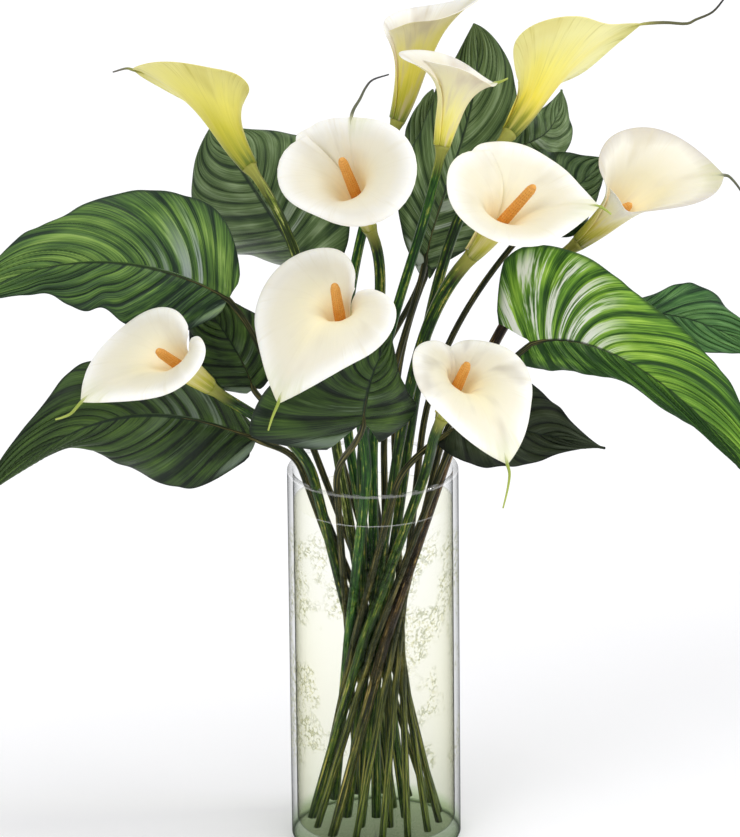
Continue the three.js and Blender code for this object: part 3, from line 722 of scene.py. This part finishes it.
class Finish:
    def __init__(self, name):
        self.material = bpy.data.materials.new(name)
        self.material.use_nodes = True
        self.tree = self.material.node_tree
        self.shader = self.tree.nodes["Principled BSDF"]
        self.output = self.tree.nodes["Material Output"]

    def plug(self, socket, value):
        if isinstance(value, Wire):
            self.tree.links.new(value.socket, socket)
        else:
            socket.default_value = value

    def node(self, kind, settings=None, values=(), output=0):
        made = self.tree.nodes.new("ShaderNode" + kind)
        for key, value in (settings or {}).items():
            if key == "stops":
                self.setStops(made.color_ramp, value)
            else:
                setattr(made, key, value)
        pairs = values.items() if isinstance(values, dict) else enumerate(values)
        for key, value in pairs:
            self.plug(made.inputs[key], value)
        return Wire(self, made.outputs[output])

    def setStops(self, ramp, stops):
        while len(ramp.elements) < len(stops):
            ramp.elements.new(0.5)
        for element, (position, colour) in zip(ramp.elements, stops.items()):
            element.position = position
            element.color = (*colour, 1)

    def numbers(self, *names):  # the numbers kept on the mesh's points
        return [self.node("Attribute", {"attribute_name": name}, output="Fac") for name in names]

    def place(self):
        return self.node("NewGeometry", output="Position")

    def axes(self, x, y, z=0.0):
        return self.node("CombineXYZ", None, [x, y, z])

    def height(self, place):  # in millimetres
        return self.node("SeparateXYZ", None, [place], output="Z") / mm

    def noise(self, at, scale, detail=2.0, roughness=0.5):
        values = {"Vector": at, "Scale": scale, "Detail": detail, "Roughness": roughness}
        return self.node("TexNoise", None, values)

    def streaks(self, x, y, z=0.0, detail=2.0, roughness=0.6):  # from -1 to 1
        return (self.noise(self.axes(x, y, z), 1.0, detail, roughness) - 0.5) * 2.0

    def chance(self, number):  # a random value for each whole number
        settings = {"noise_dimensions": "1D"}
        return self.node("TexWhiteNoise", settings, {"W": number.floor()}, output="Value")

    def mix(self, first, second, factor):
        first, second = ((*c, 1) if isinstance(c, tuple) else c for c in (first, second))
        return self.node("Mix", {"data_type": "RGBA"}, {0: factor, 6: first, 7: second}, output=2)

    def layers(self, colour, *added):  # colours laid over one another, each by its own mask
        for over, mask in added:
            colour = self.mix(colour, over, mask)
        return colour

    def ramp(self, factor, stops):
        return self.node("ValToRGB", {"stops": stops}, {"Fac": factor})

    def tinted(self, colour):  # a shader that lets light through in one colour
        return self.node("BsdfTransparent", None, {"Color": (*colour, 1)})

    def blend(self, first, second, factor):  # from one shader to another
        return self.node("MixShader", None, [factor, first, second])

    def bump(self, height, strength, distance):
        values = {"Height": height, "Strength": strength, "Distance": distance}
        self.set(Normal=self.node("Bump", None, values))

    def set(self, **values):
        for key, value in values.items():
            self.plug(self.shader.inputs[key.replace("_", " ")], value)


# A waxy petal: colours go from the base to the rim on the inside and on the outside, with a painted
# glow in its throat and at its rim
def petalFinish(name, looks):
    f = Finish(name)
    along, across, inner = f.numbers("along", "across", "inner")
    streaks = f.noise(f.axes(across * 34.0, along * 1.4), 1.0, 3.0, 0.6)
    fine = f.noise(f.axes(across * 110.0, along * 2.6), 1.0, 2.0, 0.6)
    broad = f.noise(f.axes(across * 5.0, along * 1.8), 1.0, 2.0, 0.5)
    outside = f.ramp(along + (broad - 0.5) * 0.3 + (streaks - 0.5) * 0.22, looks["outside"])
    inside = f.ramp(along + (broad - 0.5) * 0.2 + (streaks - 0.5) * 0.06, looks["inside"])
    veins = (streaks * 0.6 + fine * 0.4).step(0.5, 0.68) * looks["veins"] * (1 - 0.5 * inner)
    tipness = (1 - across.abs().step(0.0, 0.14)) * along.step(0.74, 1.0) * looks["tipStrength"]
    colour = f.layers(
        outside,
        (inside, inner.step(0.35, 0.65)),
        (looks["veinColour"], veins),
        (looks["shade"], broad.step(0.48, 0.74) * looks["shadeStrength"]),
        (looks["tipColour"], tipness * (0.7 + (streaks - 0.5) * 2.0)),
        (looks["tailColour"], along.step(1.04, 1.3)),
        (looks["tailEnd"], along.step(1.45, 1.9)),
    )
    f.set(Base_Color=colour, Roughness=0.42 + (streaks - 0.5) * 0.12, Specular_IOR_Level=0.35)
    f.set(Subsurface_Weight=0.15, Subsurface_Radius=(1.0, 0.85, 0.5), Subsurface_Scale=0.003)
    # Painted glow: the lower inside and the rim give off a little light, which lightens the throat and
    # the rim
    through = f.mix((0, 0, 0), looks["through"], (1 - along.step(0.25, 0.75)) * inner)
    rim = along.step(0.86, 0.99) * (1 - along.step(0.995, 1.02)) * looks["rimGlow"]
    f.set(Emission_Color=f.mix(through, (1, 0.98, 0.92), rim), Emission_Strength=0.18)
    f.bump(streaks * 0.7 + fine * 0.3 + broad * 0.5, 0.4, 0.0006)
    return f.material


creamLooks = dict(
    inside={
        0.0: (0.82, 0.72, 0.28), 0.14: (0.86, 0.78, 0.43), 0.3: (0.86, 0.79, 0.52),
        0.55: (0.83, 0.77, 0.56), 0.8: (0.86, 0.81, 0.66), 0.95: (0.94, 0.93, 0.87),
    },
    outside={
        0.0: (0.3, 0.32, 0.02), 0.14: (0.58, 0.53, 0.07), 0.34: (0.78, 0.71, 0.3),
        0.6: (0.86, 0.81, 0.6), 0.9: (0.89, 0.86, 0.76),
    },
    through=(1.0, 0.8, 0.42),  # painted glow, a light of its own in the petal's lower inside that lightens the throat
    rimGlow=0.45,  # and painted glow at its thin rim
    veins=0.5,
    veinColour=(0.72, 0.65, 0.45),
    shade=(0.66, 0.59, 0.43),
    shadeStrength=0.4,
    tipColour=(0.56, 0.58, 0.26),
    tipStrength=0.75,
    tailColour=(0.34, 0.42, 0.07),
    tailEnd=(0.42, 0.5, 0.1),
)
oliveTube = {
    0.0: (0.2, 0.23, 0.012), 0.16: (0.44, 0.42, 0.03), 0.4: (0.66, 0.58, 0.12),
    0.62: (0.82, 0.76, 0.44), 0.9: (0.89, 0.86, 0.74),
}
# How each kind of petal differs from the cream one, or from the kind that it is like
petalKinds = {
    "cream": {},
    "shaded cream": dict(shade=(0.5, 0.45, 0.36), shadeStrength=0.65),
    "yellow": dict(
        inside={
            0.0: (0.3, 0.3, 0.03), 0.3: (0.7, 0.6, 0.1), 0.7: (0.78, 0.7, 0.2), 0.9: (0.8, 0.73, 0.26),
        },
        outside={
            0.0: (0.13, 0.18, 0.01), 0.12: (0.36, 0.36, 0.02), 0.34: (0.6, 0.55, 0.045),
            0.62: (0.82, 0.74, 0.15), 0.95: (0.86, 0.79, 0.28),
        },
        through=(0.5, 0.42, 0.05), rimGlow=0.0, veinColour=(0.52, 0.45, 0.05),
        shade=(0.55, 0.47, 0.07), shadeStrength=0.45, tipColour=(0.46, 0.44, 0.06), tipStrength=0.85,
        tailColour=(0.26, 0.27, 0.07), tailEnd=(0.14, 0.13, 0.11),
    ),
    "lemon": dict(
        like="yellow", veins=0.4, shade=(0.8, 0.68, 0.2),
        outside={
            0.0: (0.12, 0.16, 0.01), 0.14: (0.3, 0.3, 0.02), 0.32: (0.84, 0.7, 0.06),
            0.55: (0.97, 0.87, 0.2), 0.85: (0.98, 0.93, 0.4),
        },
        tailColour=(0.12, 0.12, 0.05), tailEnd=(0.02, 0.02, 0.02),
    ),
    "pale lemon": dict(
        outside={
            0.0: (0.42, 0.42, 0.03), 0.14: (0.84, 0.76, 0.12), 0.38: (0.98, 0.91, 0.34),
            0.62: (0.93, 0.87, 0.52), 0.9: (0.88, 0.82, 0.62),
        },
        rimGlow=0.1, veins=0.3, veinColour=(0.76, 0.64, 0.34), shade=(0.62, 0.52, 0.42),
        shadeStrength=0.6,
    ),
    # A more olive outside, stronger painted shade in broad patches, and less painted glow at the rim
    "dusty cream": dict(
        outside={
            0.0: (0.14, 0.19, 0.01), 0.16: (0.42, 0.4, 0.02), 0.45: (0.74, 0.65, 0.075),
            0.7: (0.8, 0.71, 0.22), 0.92: (0.8, 0.72, 0.42),
        },
        rimGlow=0.1, veins=0.45, veinColour=(0.6, 0.5, 0.22), shade=(0.5, 0.42, 0.32),
        shadeStrength=0.6,
    ),
    "olive tubed": dict(outside=oliveTube),
    "dark tailed": dict(tailColour=(0.14, 0.15, 0.09), tailEnd=(0.05, 0.05, 0.05)),
    # Cream with the olive tube and dark tail, and painted shade: its inside greys towards the curled
    # rim
    "pale edged": dict(
        like="dark tailed", outside=oliveTube, rimGlow=0.0, shadeStrength=0.6,
        inside={
            0.0: (0.82, 0.72, 0.28), 0.14: (0.84, 0.75, 0.4), 0.35: (0.8, 0.72, 0.46),
            0.6: (0.77, 0.7, 0.5), 0.86: (0.84, 0.8, 0.68), 0.98: (0.62, 0.58, 0.52),
        },
    ),
}


# A finish for each kind, which is like the first one where it names no other
def finishesOf(kinds, looks, makeFinish, name):
    full = {}
    finishes = {}
    for kind, changes in kinds.items():
        full[kind] = {**full.get(changes.get("like"), looks), **changes}
        finishes[kind] = makeFinish(f"{kind} {name}", full[kind])
    return finishes


petalFinishes = finishesOf(petalKinds, creamLooks, petalFinish, "petal")

spikeColours = {
    0.0: (0.5, 0.36, 0.06), 0.2: (0.46, 0.13, 0.01), 0.5: (0.66, 0.24, 0.018), 1.0: (0.8, 0.38, 0.07),
}


def spikeFinish():
    f = Finish("pollen orange spike")
    along, knob = f.numbers("along", "knob")
    grain = f.noise(f.place(), 900.0, 2.0, 0.6)
    patches = f.noise(f.place(), 150.0, 2.0, 0.5)
    colour = f.layers(
        f.ramp(along + (patches - 0.5) * 0.5, spikeColours),
        # painted shade in the hollows between the knobs
        ((0.42, 0.12, 0.01), (1 - knob.step(-0.9, 0.2)) * 0.6),
        ((0.95, 0.62, 0.2), grain.step(0.5, 0.72) * 0.4),
    )
    f.set(Base_Color=colour, Roughness=0.62, Subsurface_Weight=0.1, Subsurface_Scale=0.002)
    f.bump(grain, 0.35, 0.0003)
    return f.material


orangeSpike = spikeFinish()


# Streaks that run along a stem, from its own round coordinates
def stemStreaks(f, fineness, reach, detail=3.0):
    x, y, travel = f.numbers("roundX", "roundY", "travel")
    return f.streaks(x * fineness, y * fineness, travel / reach, detail)


# Down in the water a stem or stalk looks greener and paler
def sunkenColour(f, colour, lines):
    green = f.layers(
        (0.006, 0.016, 0.004),
        ((0.12, 0.2, 0.02), (lines + 0.1).step(-0.1, 0.4)),
        ((0.6, 0.5, 0.14), lines.step(0.2, 0.42) * 0.9),
    )
    return f.mix(colour, green, (1 - f.height(f.place()).step(20, 190)) * 0.62)


# A stem: darker or browner by its own looks, paler at its top end, and greener and paler down in the
# water
def stemFinish(name, dark, main, streak, pale):
    f = Finish(name)
    along = f.numbers("along")[0]
    lines = stemStreaks(f, 2.2, 42.0)
    threads = stemStreaks(f, 6.0, 18.0, 2.0)
    flecks = stemStreaks(f, 1.3, 7.0)
    tone = 0.4 + lines * 1.7 + threads * 0.7 + flecks * 0.5
    colour = f.layers(
        dark,
        (main, tone.step(0.1, 0.42)),
        (streak, tone.step(0.5, 0.78)),
        (pale, (tone + flecks * 0.6).step(0.82, 1.05) * 0.85),
        ((0.36, 0.36, 0.07), along.step(0.955, 1.0) * 0.85),
    )
    colour = sunkenColour(f, colour, lines + threads * 0.5)
    f.set(Base_Color=colour, Roughness=0.4 + lines * 0.15, Specular_IOR_Level=0.2)
    f.bump(lines * 0.6 + threads * 0.5, 0.5, 0.0005)
    return f.material


# Dark ground, main colour, streaks and pale flecks
stemColours = {
    "olive": [(0.006, 0.016, 0.004), (0.022, 0.066, 0.008), (0.09, 0.16, 0.014), (0.46, 0.39, 0.08)],
    "brown": [(0.01, 0.007, 0.006), (0.03, 0.02, 0.011), (0.12, 0.07, 0.024), (0.44, 0.29, 0.1)],
    "green": [(0.008, 0.032, 0.008), (0.02, 0.085, 0.012), (0.08, 0.2, 0.025), (0.38, 0.4, 0.08)],
    "lime edged": [(0.02, 0.035, 0.008), (0.045, 0.075, 0.014), (0.24, 0.31, 0.05), (0.55, 0.56, 0.2)],
}
stemFinishes = {kind: stemFinish(f"{kind} stem", *stemColours[kind]) for kind in stemColours}


# A glossy leaf: dark along its side ribs, with streaks of several tones between each two; the dark ribs
# and light swells are partly painted shade and highlight, and it has painted glints near its base
def leafFinish(name, looks):
    f = Finish(name)
    along, across, vein = f.numbers("along", "across", "vein")
    inner, stalk, bright = f.numbers("inner", "stalk", "bright")
    side = across.abs()
    swell = 0.5 - 0.5 * (vein * 2 * pi).cosine()
    luck = f.chance(vein) - 0.5
    strands = f.streaks(vein * 6.0, across * 1.1, 0.0, 4.0, 0.65)
    threads = f.streaks(vein * 19.0, across * 2.2)
    clouds = f.streaks(vein * 0.45, across * 2.2, along * 2.0, 2.0, 0.5)
    # Lighter on the swells between side ribs and darker along the sunken ribs: partly the leaf's own
    # stripes, partly painted highlight and painted shade
    tone = 0.14 + swell.step(0.0, 0.3) * 0.28 + luck * 0.16 + clouds * 0.4 + looks["lift"]
    tone = tone + (strands * 0.55 + threads * 0.4) * looks["contrast"]
    # darker towards the margins and the tip, and painted shade on one half of the blade
    tone = tone - side.step(0.6, 1.0) * 0.12 - along.step(0.8, 1.0) * 0.05 + (bright - 1) * 0.45
    tone = tone - along.step(0.3, 0.75) * looks["farDim"]
    tones = looks["tones"]
    # Painted highlight: glints between the side ribs near the base; on the variegated leaf the same
    # mask also gives its own whitish streaks
    glint = swell * 0.7 + luck * looks["glintLuck"] + strands * looks["glintStrands"]
    glint = (glint + threads * 0.3 + looks["glintReach"]).step(0.4, 0.75)
    glint = glint * (1 - (along + side * 0.1).step(looks["glintStart"], looks["glintEnd"]))
    glint = glint * bright ** 3 * (1 - side.step(0.8, 1.0)) * looks["glintStrength"]
    above = f.layers(
        f.ramp(tone, dict(zip((0.0, 0.16, 0.38, 0.66, 1.0), tones))),
        (looks["glint"], glint),
        (tones[0], side.step(0.95, 0.995) * 0.8),
        (looks["rib"], (1 - side.step(0.012, 0.032)) * 0.8),
    )
    under = f.mix(looks["under"], tones[2], (tone * 0.8).step(0.2, 1.0) * 0.5)
    lines = stemStreaks(f, 2.5, 30.0)
    stalkColour = f.mix(looks["stalk"], looks["stalkPale"], (lines + 0.2).step(0.1, 0.6))
    stalkColour = sunkenColour(f, stalkColour, lines)
    colour = f.layers(under, (above, inner.step(0.35, 0.65)), (stalkColour, stalk))
    f.set(Base_Color=colour, Roughness=0.34 + strands * 0.2 + (1 - inner) * 0.2)
    f.set(Specular_IOR_Level=looks["shine"])
    f.bump(strands * 0.5 + threads * 0.3 + swell * 0.3, 0.6, 0.0012)
    return f.material


deepLooks = dict(
    tones=[
        (0.01, 0.019, 0.01), (0.024, 0.046, 0.015), (0.048, 0.094, 0.021), (0.1, 0.18, 0.033),
        (0.24, 0.34, 0.11),
    ],
    lift=-0.06,
    farDim=0.0,  # how much darker it gets towards the tip
    contrast=0.8,
    glint=(0.34, 0.4, 0.38),
    glintStrength=0.35,
    glintLuck=1.4,
    glintStrands=0.6,
    glintReach=0,
    glintStart=0.1,
    glintEnd=0.5,
    rib=(0.01, 0.022, 0.014),
    under=(0.04, 0.07, 0.03),
    stalk=(0.015, 0.022, 0.008),
    stalkPale=(0.2, 0.17, 0.05),
    shine=0.2,
)
leafKinds = {
    "deep": {},
    "bright": dict(
        lift=0.02, contrast=1.1, glint=(0.46, 0.52, 0.52), glintStrength=0.85, glintEnd=0.42,
        tones=[
            (0.015, 0.033, 0.018), (0.038, 0.085, 0.027), (0.09, 0.185, 0.04), (0.24, 0.39, 0.08),
            (0.5, 0.61, 0.27),
        ],
    ),
    "emerald": dict(
        lift=0.04, contrast=0.9, glint=(0.4, 0.52, 0.42), glintStrength=0.5,
        tones=[
            (0.01, 0.036, 0.013), (0.028, 0.09, 0.026), (0.065, 0.18, 0.045), (0.17, 0.36, 0.1),
            (0.4, 0.55, 0.28),
        ],
    ),
    "dark": dict(
        contrast=0.7, glint=(0.12, 0.14, 0.13), glintStrength=0.5,
        tones=[
            (0.007, 0.011, 0.007), (0.014, 0.022, 0.01), (0.028, 0.042, 0.018),
            (0.065, 0.085, 0.05), (0.12, 0.15, 0.11),
        ],
    ),
    "variegated": dict(
        lift=0.08, farDim=0.17, contrast=1.2, glint=(0.88, 0.92, 0.82), glintStrength=1.0,
        glintLuck=0.5, glintStrands=1.6, glintReach=0.12, glintStart=0.24, glintEnd=0.46,
        tones=[
            (0.02, 0.065, 0.012), (0.055, 0.15, 0.018), (0.15, 0.33, 0.032), (0.4, 0.66, 0.08),
            (0.75, 0.9, 0.35),
        ],
    ),
    "silver": dict(
        lift=-0.02, contrast=0.9, glint=(0.5, 0.56, 0.5), glintStrength=0.7,
        tones=[
            (0.02, 0.042, 0.016), (0.05, 0.09, 0.028), (0.11, 0.175, 0.062), (0.26, 0.35, 0.18),
            (0.48, 0.56, 0.4),
        ],
    ),
    "pale": dict(
        glint=(0.4, 0.46, 0.44), glintStrength=0.7,
        tones=[
            (0.014, 0.033, 0.014), (0.034, 0.068, 0.026), (0.075, 0.13, 0.052), (0.17, 0.25, 0.12),
            (0.34, 0.42, 0.3),
        ],
    ),
}
leafFinishes = finishesOf(leafKinds, deepLooks, leafFinish, "green leaf")


# The vase's dark foot, and fine crackle and mottling in patches on its outer wall
def vaseTints(f, place, height, outside, looks):
    r = vase["radius"]
    level = f.node("VectorMath", {"operation": "MULTIPLY"}, [place, (1.0, 1.0, 0.0)])
    fromAxis = f.node("VectorMath", {"operation": "LENGTH"}, [level], output="Value") / mm
    lowEnd, lowFull, highFull, highEnd = looks["crackleHeights"]
    band = height.step(lowEnd, lowFull) * (1 - height.step(highFull, highEnd))
    band = band * (fromAxis.step(r - 1.5, r - 0.5) * outside)
    patch = f.noise(place, 30.0, 2.0, 0.5).step(0.46, 0.58) * band
    spots = f.noise(place, 420.0, 3.0, 0.65).step(0.47, 0.64)
    values = {0: f.noise(place, 260.0, 2.0), "Scale": 0.006}
    warp = f.node("VectorMath", {"operation": "SCALE"}, values)
    moved = f.node("VectorMath", {"operation": "ADD"}, [place, warp])
    values = {"Vector": moved, "Scale": looks["crackleScale"]}
    cells = f.node("TexVoronoi", {"feature": "DISTANCE_TO_EDGE"}, values)
    broken = f.noise(place, 210.0, 1.0).step(0.38, 0.55)
    return [
        (looks["foot"], (1 - height.step(0.0, 3.0)) * fromAxis.step(r - 4, r - 1)),
        (looks["mottle"], patch * spots * 0.75),
        (looks["crackle"], (1 - cells.step(0.02, 0.16)) * patch * broken * 0.55),
    ]


# Clear glass or water that doesn't bend what is seen through it: one plain tint after another
# is laid over the clear one, each by its own mask
def clearFinish(name, looks):
    f = Finish(name)
    place = f.place()
    height = f.height(place)
    grazing = f.node("LayerWeight", None, {"Blend": 0.5}, output="Facing")
    outside = 1 - f.node("NewGeometry", output="Backfacing")
    tints = [(tint, 1 - height.step(low, high)) for low, high, tint in looks["below"]]
    tints.append((looks["edge"], (grazing ** looks["edgePower"]) * looks["edgeStrength"]))
    if "crackle" in looks:
        tints += vaseTints(f, place, height, outside, looks)
    clear = f.tinted(looks["clear"])
    for tint, mask in tints:
        clear = f.blend(clear, f.tinted(tint), mask)
    mirror = f.node("BsdfGlossy", None, {"Color": (1, 1, 1, 1), "Roughness": looks["roughness"]})
    shine = (0.005 + (grazing ** 4.0) * 0.17) * outside * looks["shine"]
    rim = height.step(looks["rim"], looks["rim"] + 1.2)
    both = f.blend(clear, mirror, shine + rim * outside * looks["rimShine"])
    f.tree.links.new(both.socket, f.output.inputs["Surface"])
    f.tree.nodes.remove(f.shader)
    return f.material


glassLooks = dict(
    clear=(0.992, 0.995, 0.992),
    below=[(10.0, 15.0, (0.87, 0.92, 0.84)), (2.5, 10.0, (0.62, 0.72, 0.54))],
    foot=(0.18, 0.25, 0.14),
    edge=(0.02, 0.03, 0.035),
    edgePower=5.6,
    edgeStrength=1.0,
    crackle=(0.3, 0.33, 0.16),
    mottle=(0.74, 0.73, 0.5),
    crackleScale=165.0,
    crackleHeights=(45, 80, 225, 250),  # it fades in and out between these
    roughness=0.04,
    shine=0.6,
    rim=272.6,  # mm above the floor, where the rim's gleam starts
    rimShine=0.3,
)
clearGlass = clearFinish("clear crackled glass", glassLooks)

waterLooks = dict(
    clear=(1.0, 0.998, 0.975),
    below=[(110.0, 240.0, (1.0, 0.995, 0.935)), (10.0, 90.0, (0.975, 0.99, 0.92))],
    edge=(0.93, 0.92, 0.7),
    edgePower=2.0,
    edgeStrength=0.6,
    roughness=0.03,
    shine=0.35,
    rim=250.2,
    rimShine=0.3,
)
stillWater = clearFinish("still water", waterLooks)

print("finishes made")


def addPiece(name, parts, finish, node):
    made = makeObject(name, *joinParts(parts), finish)
    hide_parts(node)
    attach(made, "root")
    return made


# Vase and water

def keepEdges(made, angle):  # sharper edges than this angle stay sharp
    bpy.context.view_layer.objects.active = made
    made.select_set(True)
    bpy.ops.object.shade_smooth_by_angle(angle=radians(angle), keep_sharp_edges=True)
    made.select_set(False)


def makeVase():
    r = vase["radius"]
    h = vase["height"]
    floor = vase["floor"]
    inner = r - vase["wall"]
    profile = [(0, 0), (r - 1.5, 0), (r - 0.5, 0.4), (r, 1.5)]
    profile += [(r, h - 1.2), (r - 0.4, h - 0.3), (r - 1.2, h)]
    profile += [(inner + 1.2, h), (inner + 0.4, h - 0.3), (inner, h - 1.2)]
    profile += [(inner, floor + 3), (inner - 0.9, floor + 0.9), (inner - 3, floor), (0, floor)]
    parts = [lathePart(profile, vase["sides"])]
    keepEdges(addPiece("vase_glass", parts, clearGlass, "glass_vase"), 35)


def makeWater():
    r = vase["radius"] - vase["wall"] - water["gap"]
    low = vase["floor"] + 2 * water["gap"]
    level = water["level"]
    rise = water["meniscus"]
    profile = [(0, low), (r - 3, low), (r - 0.9, low + 0.9), (r, low + 3), (r, level + rise - 0.2)]
    profile += [(r - 0.6, level + rise * 0.55), (r - 1.6, level + rise * 0.2)]
    profile += [(r - 3.5, level), (0, level)]
    parts = [lathePart(profile, vase["sides"])]
    keepEdges(addPiece("still_water", parts, stillWater, "water"), 50)


makeVase()
makeWater()
print("vase and water made")


for seed, (name, bloom) in enumerate(blooms.items()):
    petal = bloom.get("petal", "cream")
    petalSlot = "yellow" if petal in ("yellow", "lemon") else "cream"
    stem = stemFinishes[bloom.get("stem", "olive")]
    made = {
        "spathe": (spatheParts(bloom, seed), petalFinishes[petal], petalSlot),
        "spadix": (spadixParts(bloom), orangeSpike, "spadix"),
        "stem": (stemParts(bloom), stem, "stem"),
    }
    for kind, (parts, finish, slot) in made.items():
        addPiece(f"{kind}_{name}", parts, finish, f"{name}_{kind}")
print("blooms made:", len(blooms))

for seed, (name, leaf) in enumerate(leaves.items()):
    finish = leafFinishes[leaf["look"]]
    addPiece(f"ribbed_leaf_{name}", leafParts(leaf, seed), finish, f"leaf_{name}")
print("leaves made:", len(leaves))


# Floor, light and camera

def makeStudio():
    floor = Finish("plain pale floor")
    floor.set(Base_Color=studio["floorColour"], Roughness=0.9, Specular_IOR_Level=0.1)
    floor.set(Emission_Color=(1, 1, 1, 1), Emission_Strength=studio["floorGlow"])
    bpy.ops.mesh.primitive_plane_add(size=studio["floorSize"], location=(0, 0, 0))
    plane = bpy.context.object
    plane.name = "floor"
    plane.data.materials.append(floor.material)

    world = bpy.data.worlds.new("white studio")
    world.use_nodes = True
    sky = world.node_tree.nodes["Background"].inputs
    sky["Color"].default_value = (1, 1, 1, 1)
    sky["Strength"].default_value = studio["skyStrength"]
    bpy.context.scene.world = world

    for name, (azimuth, elevation, softness, strength) in studio["suns"].items():
        data = bpy.data.lights.new(name, "SUN")
        data.angle = radians(softness)
        data.energy = strength
        lamp = addObject(name, data)
        source = Vector(towards(azimuth, elevation))
        lamp.location = source * 3
        lamp.rotation_euler = source.to_track_quat("Z", "Y").to_euler()


def makeCamera():
    data = bpy.data.cameras.new("camera")
    data.lens = studio["lens"]
    data.sensor_width = studio["sensor"]
    data.clip_start = 0.1
    data.clip_end = 100
    camera = addObject("camera", data)
    look = Vector(-facing)
    camera.location = Vector(studio["lookAt"]) * mm - look * studio["distance"] * mm
    roll = Matrix.Rotation(radians(studio["roll"]), 3, "Z")
    camera.rotation_euler = (look.to_track_quat("-Z", "Y").to_matrix() @ roll).to_euler()
    bpy.context.scene.camera = camera
    bpy.context.scene.view_settings.view_transform = "Standard"


makeStudio()
makeCamera()
print("studio made")
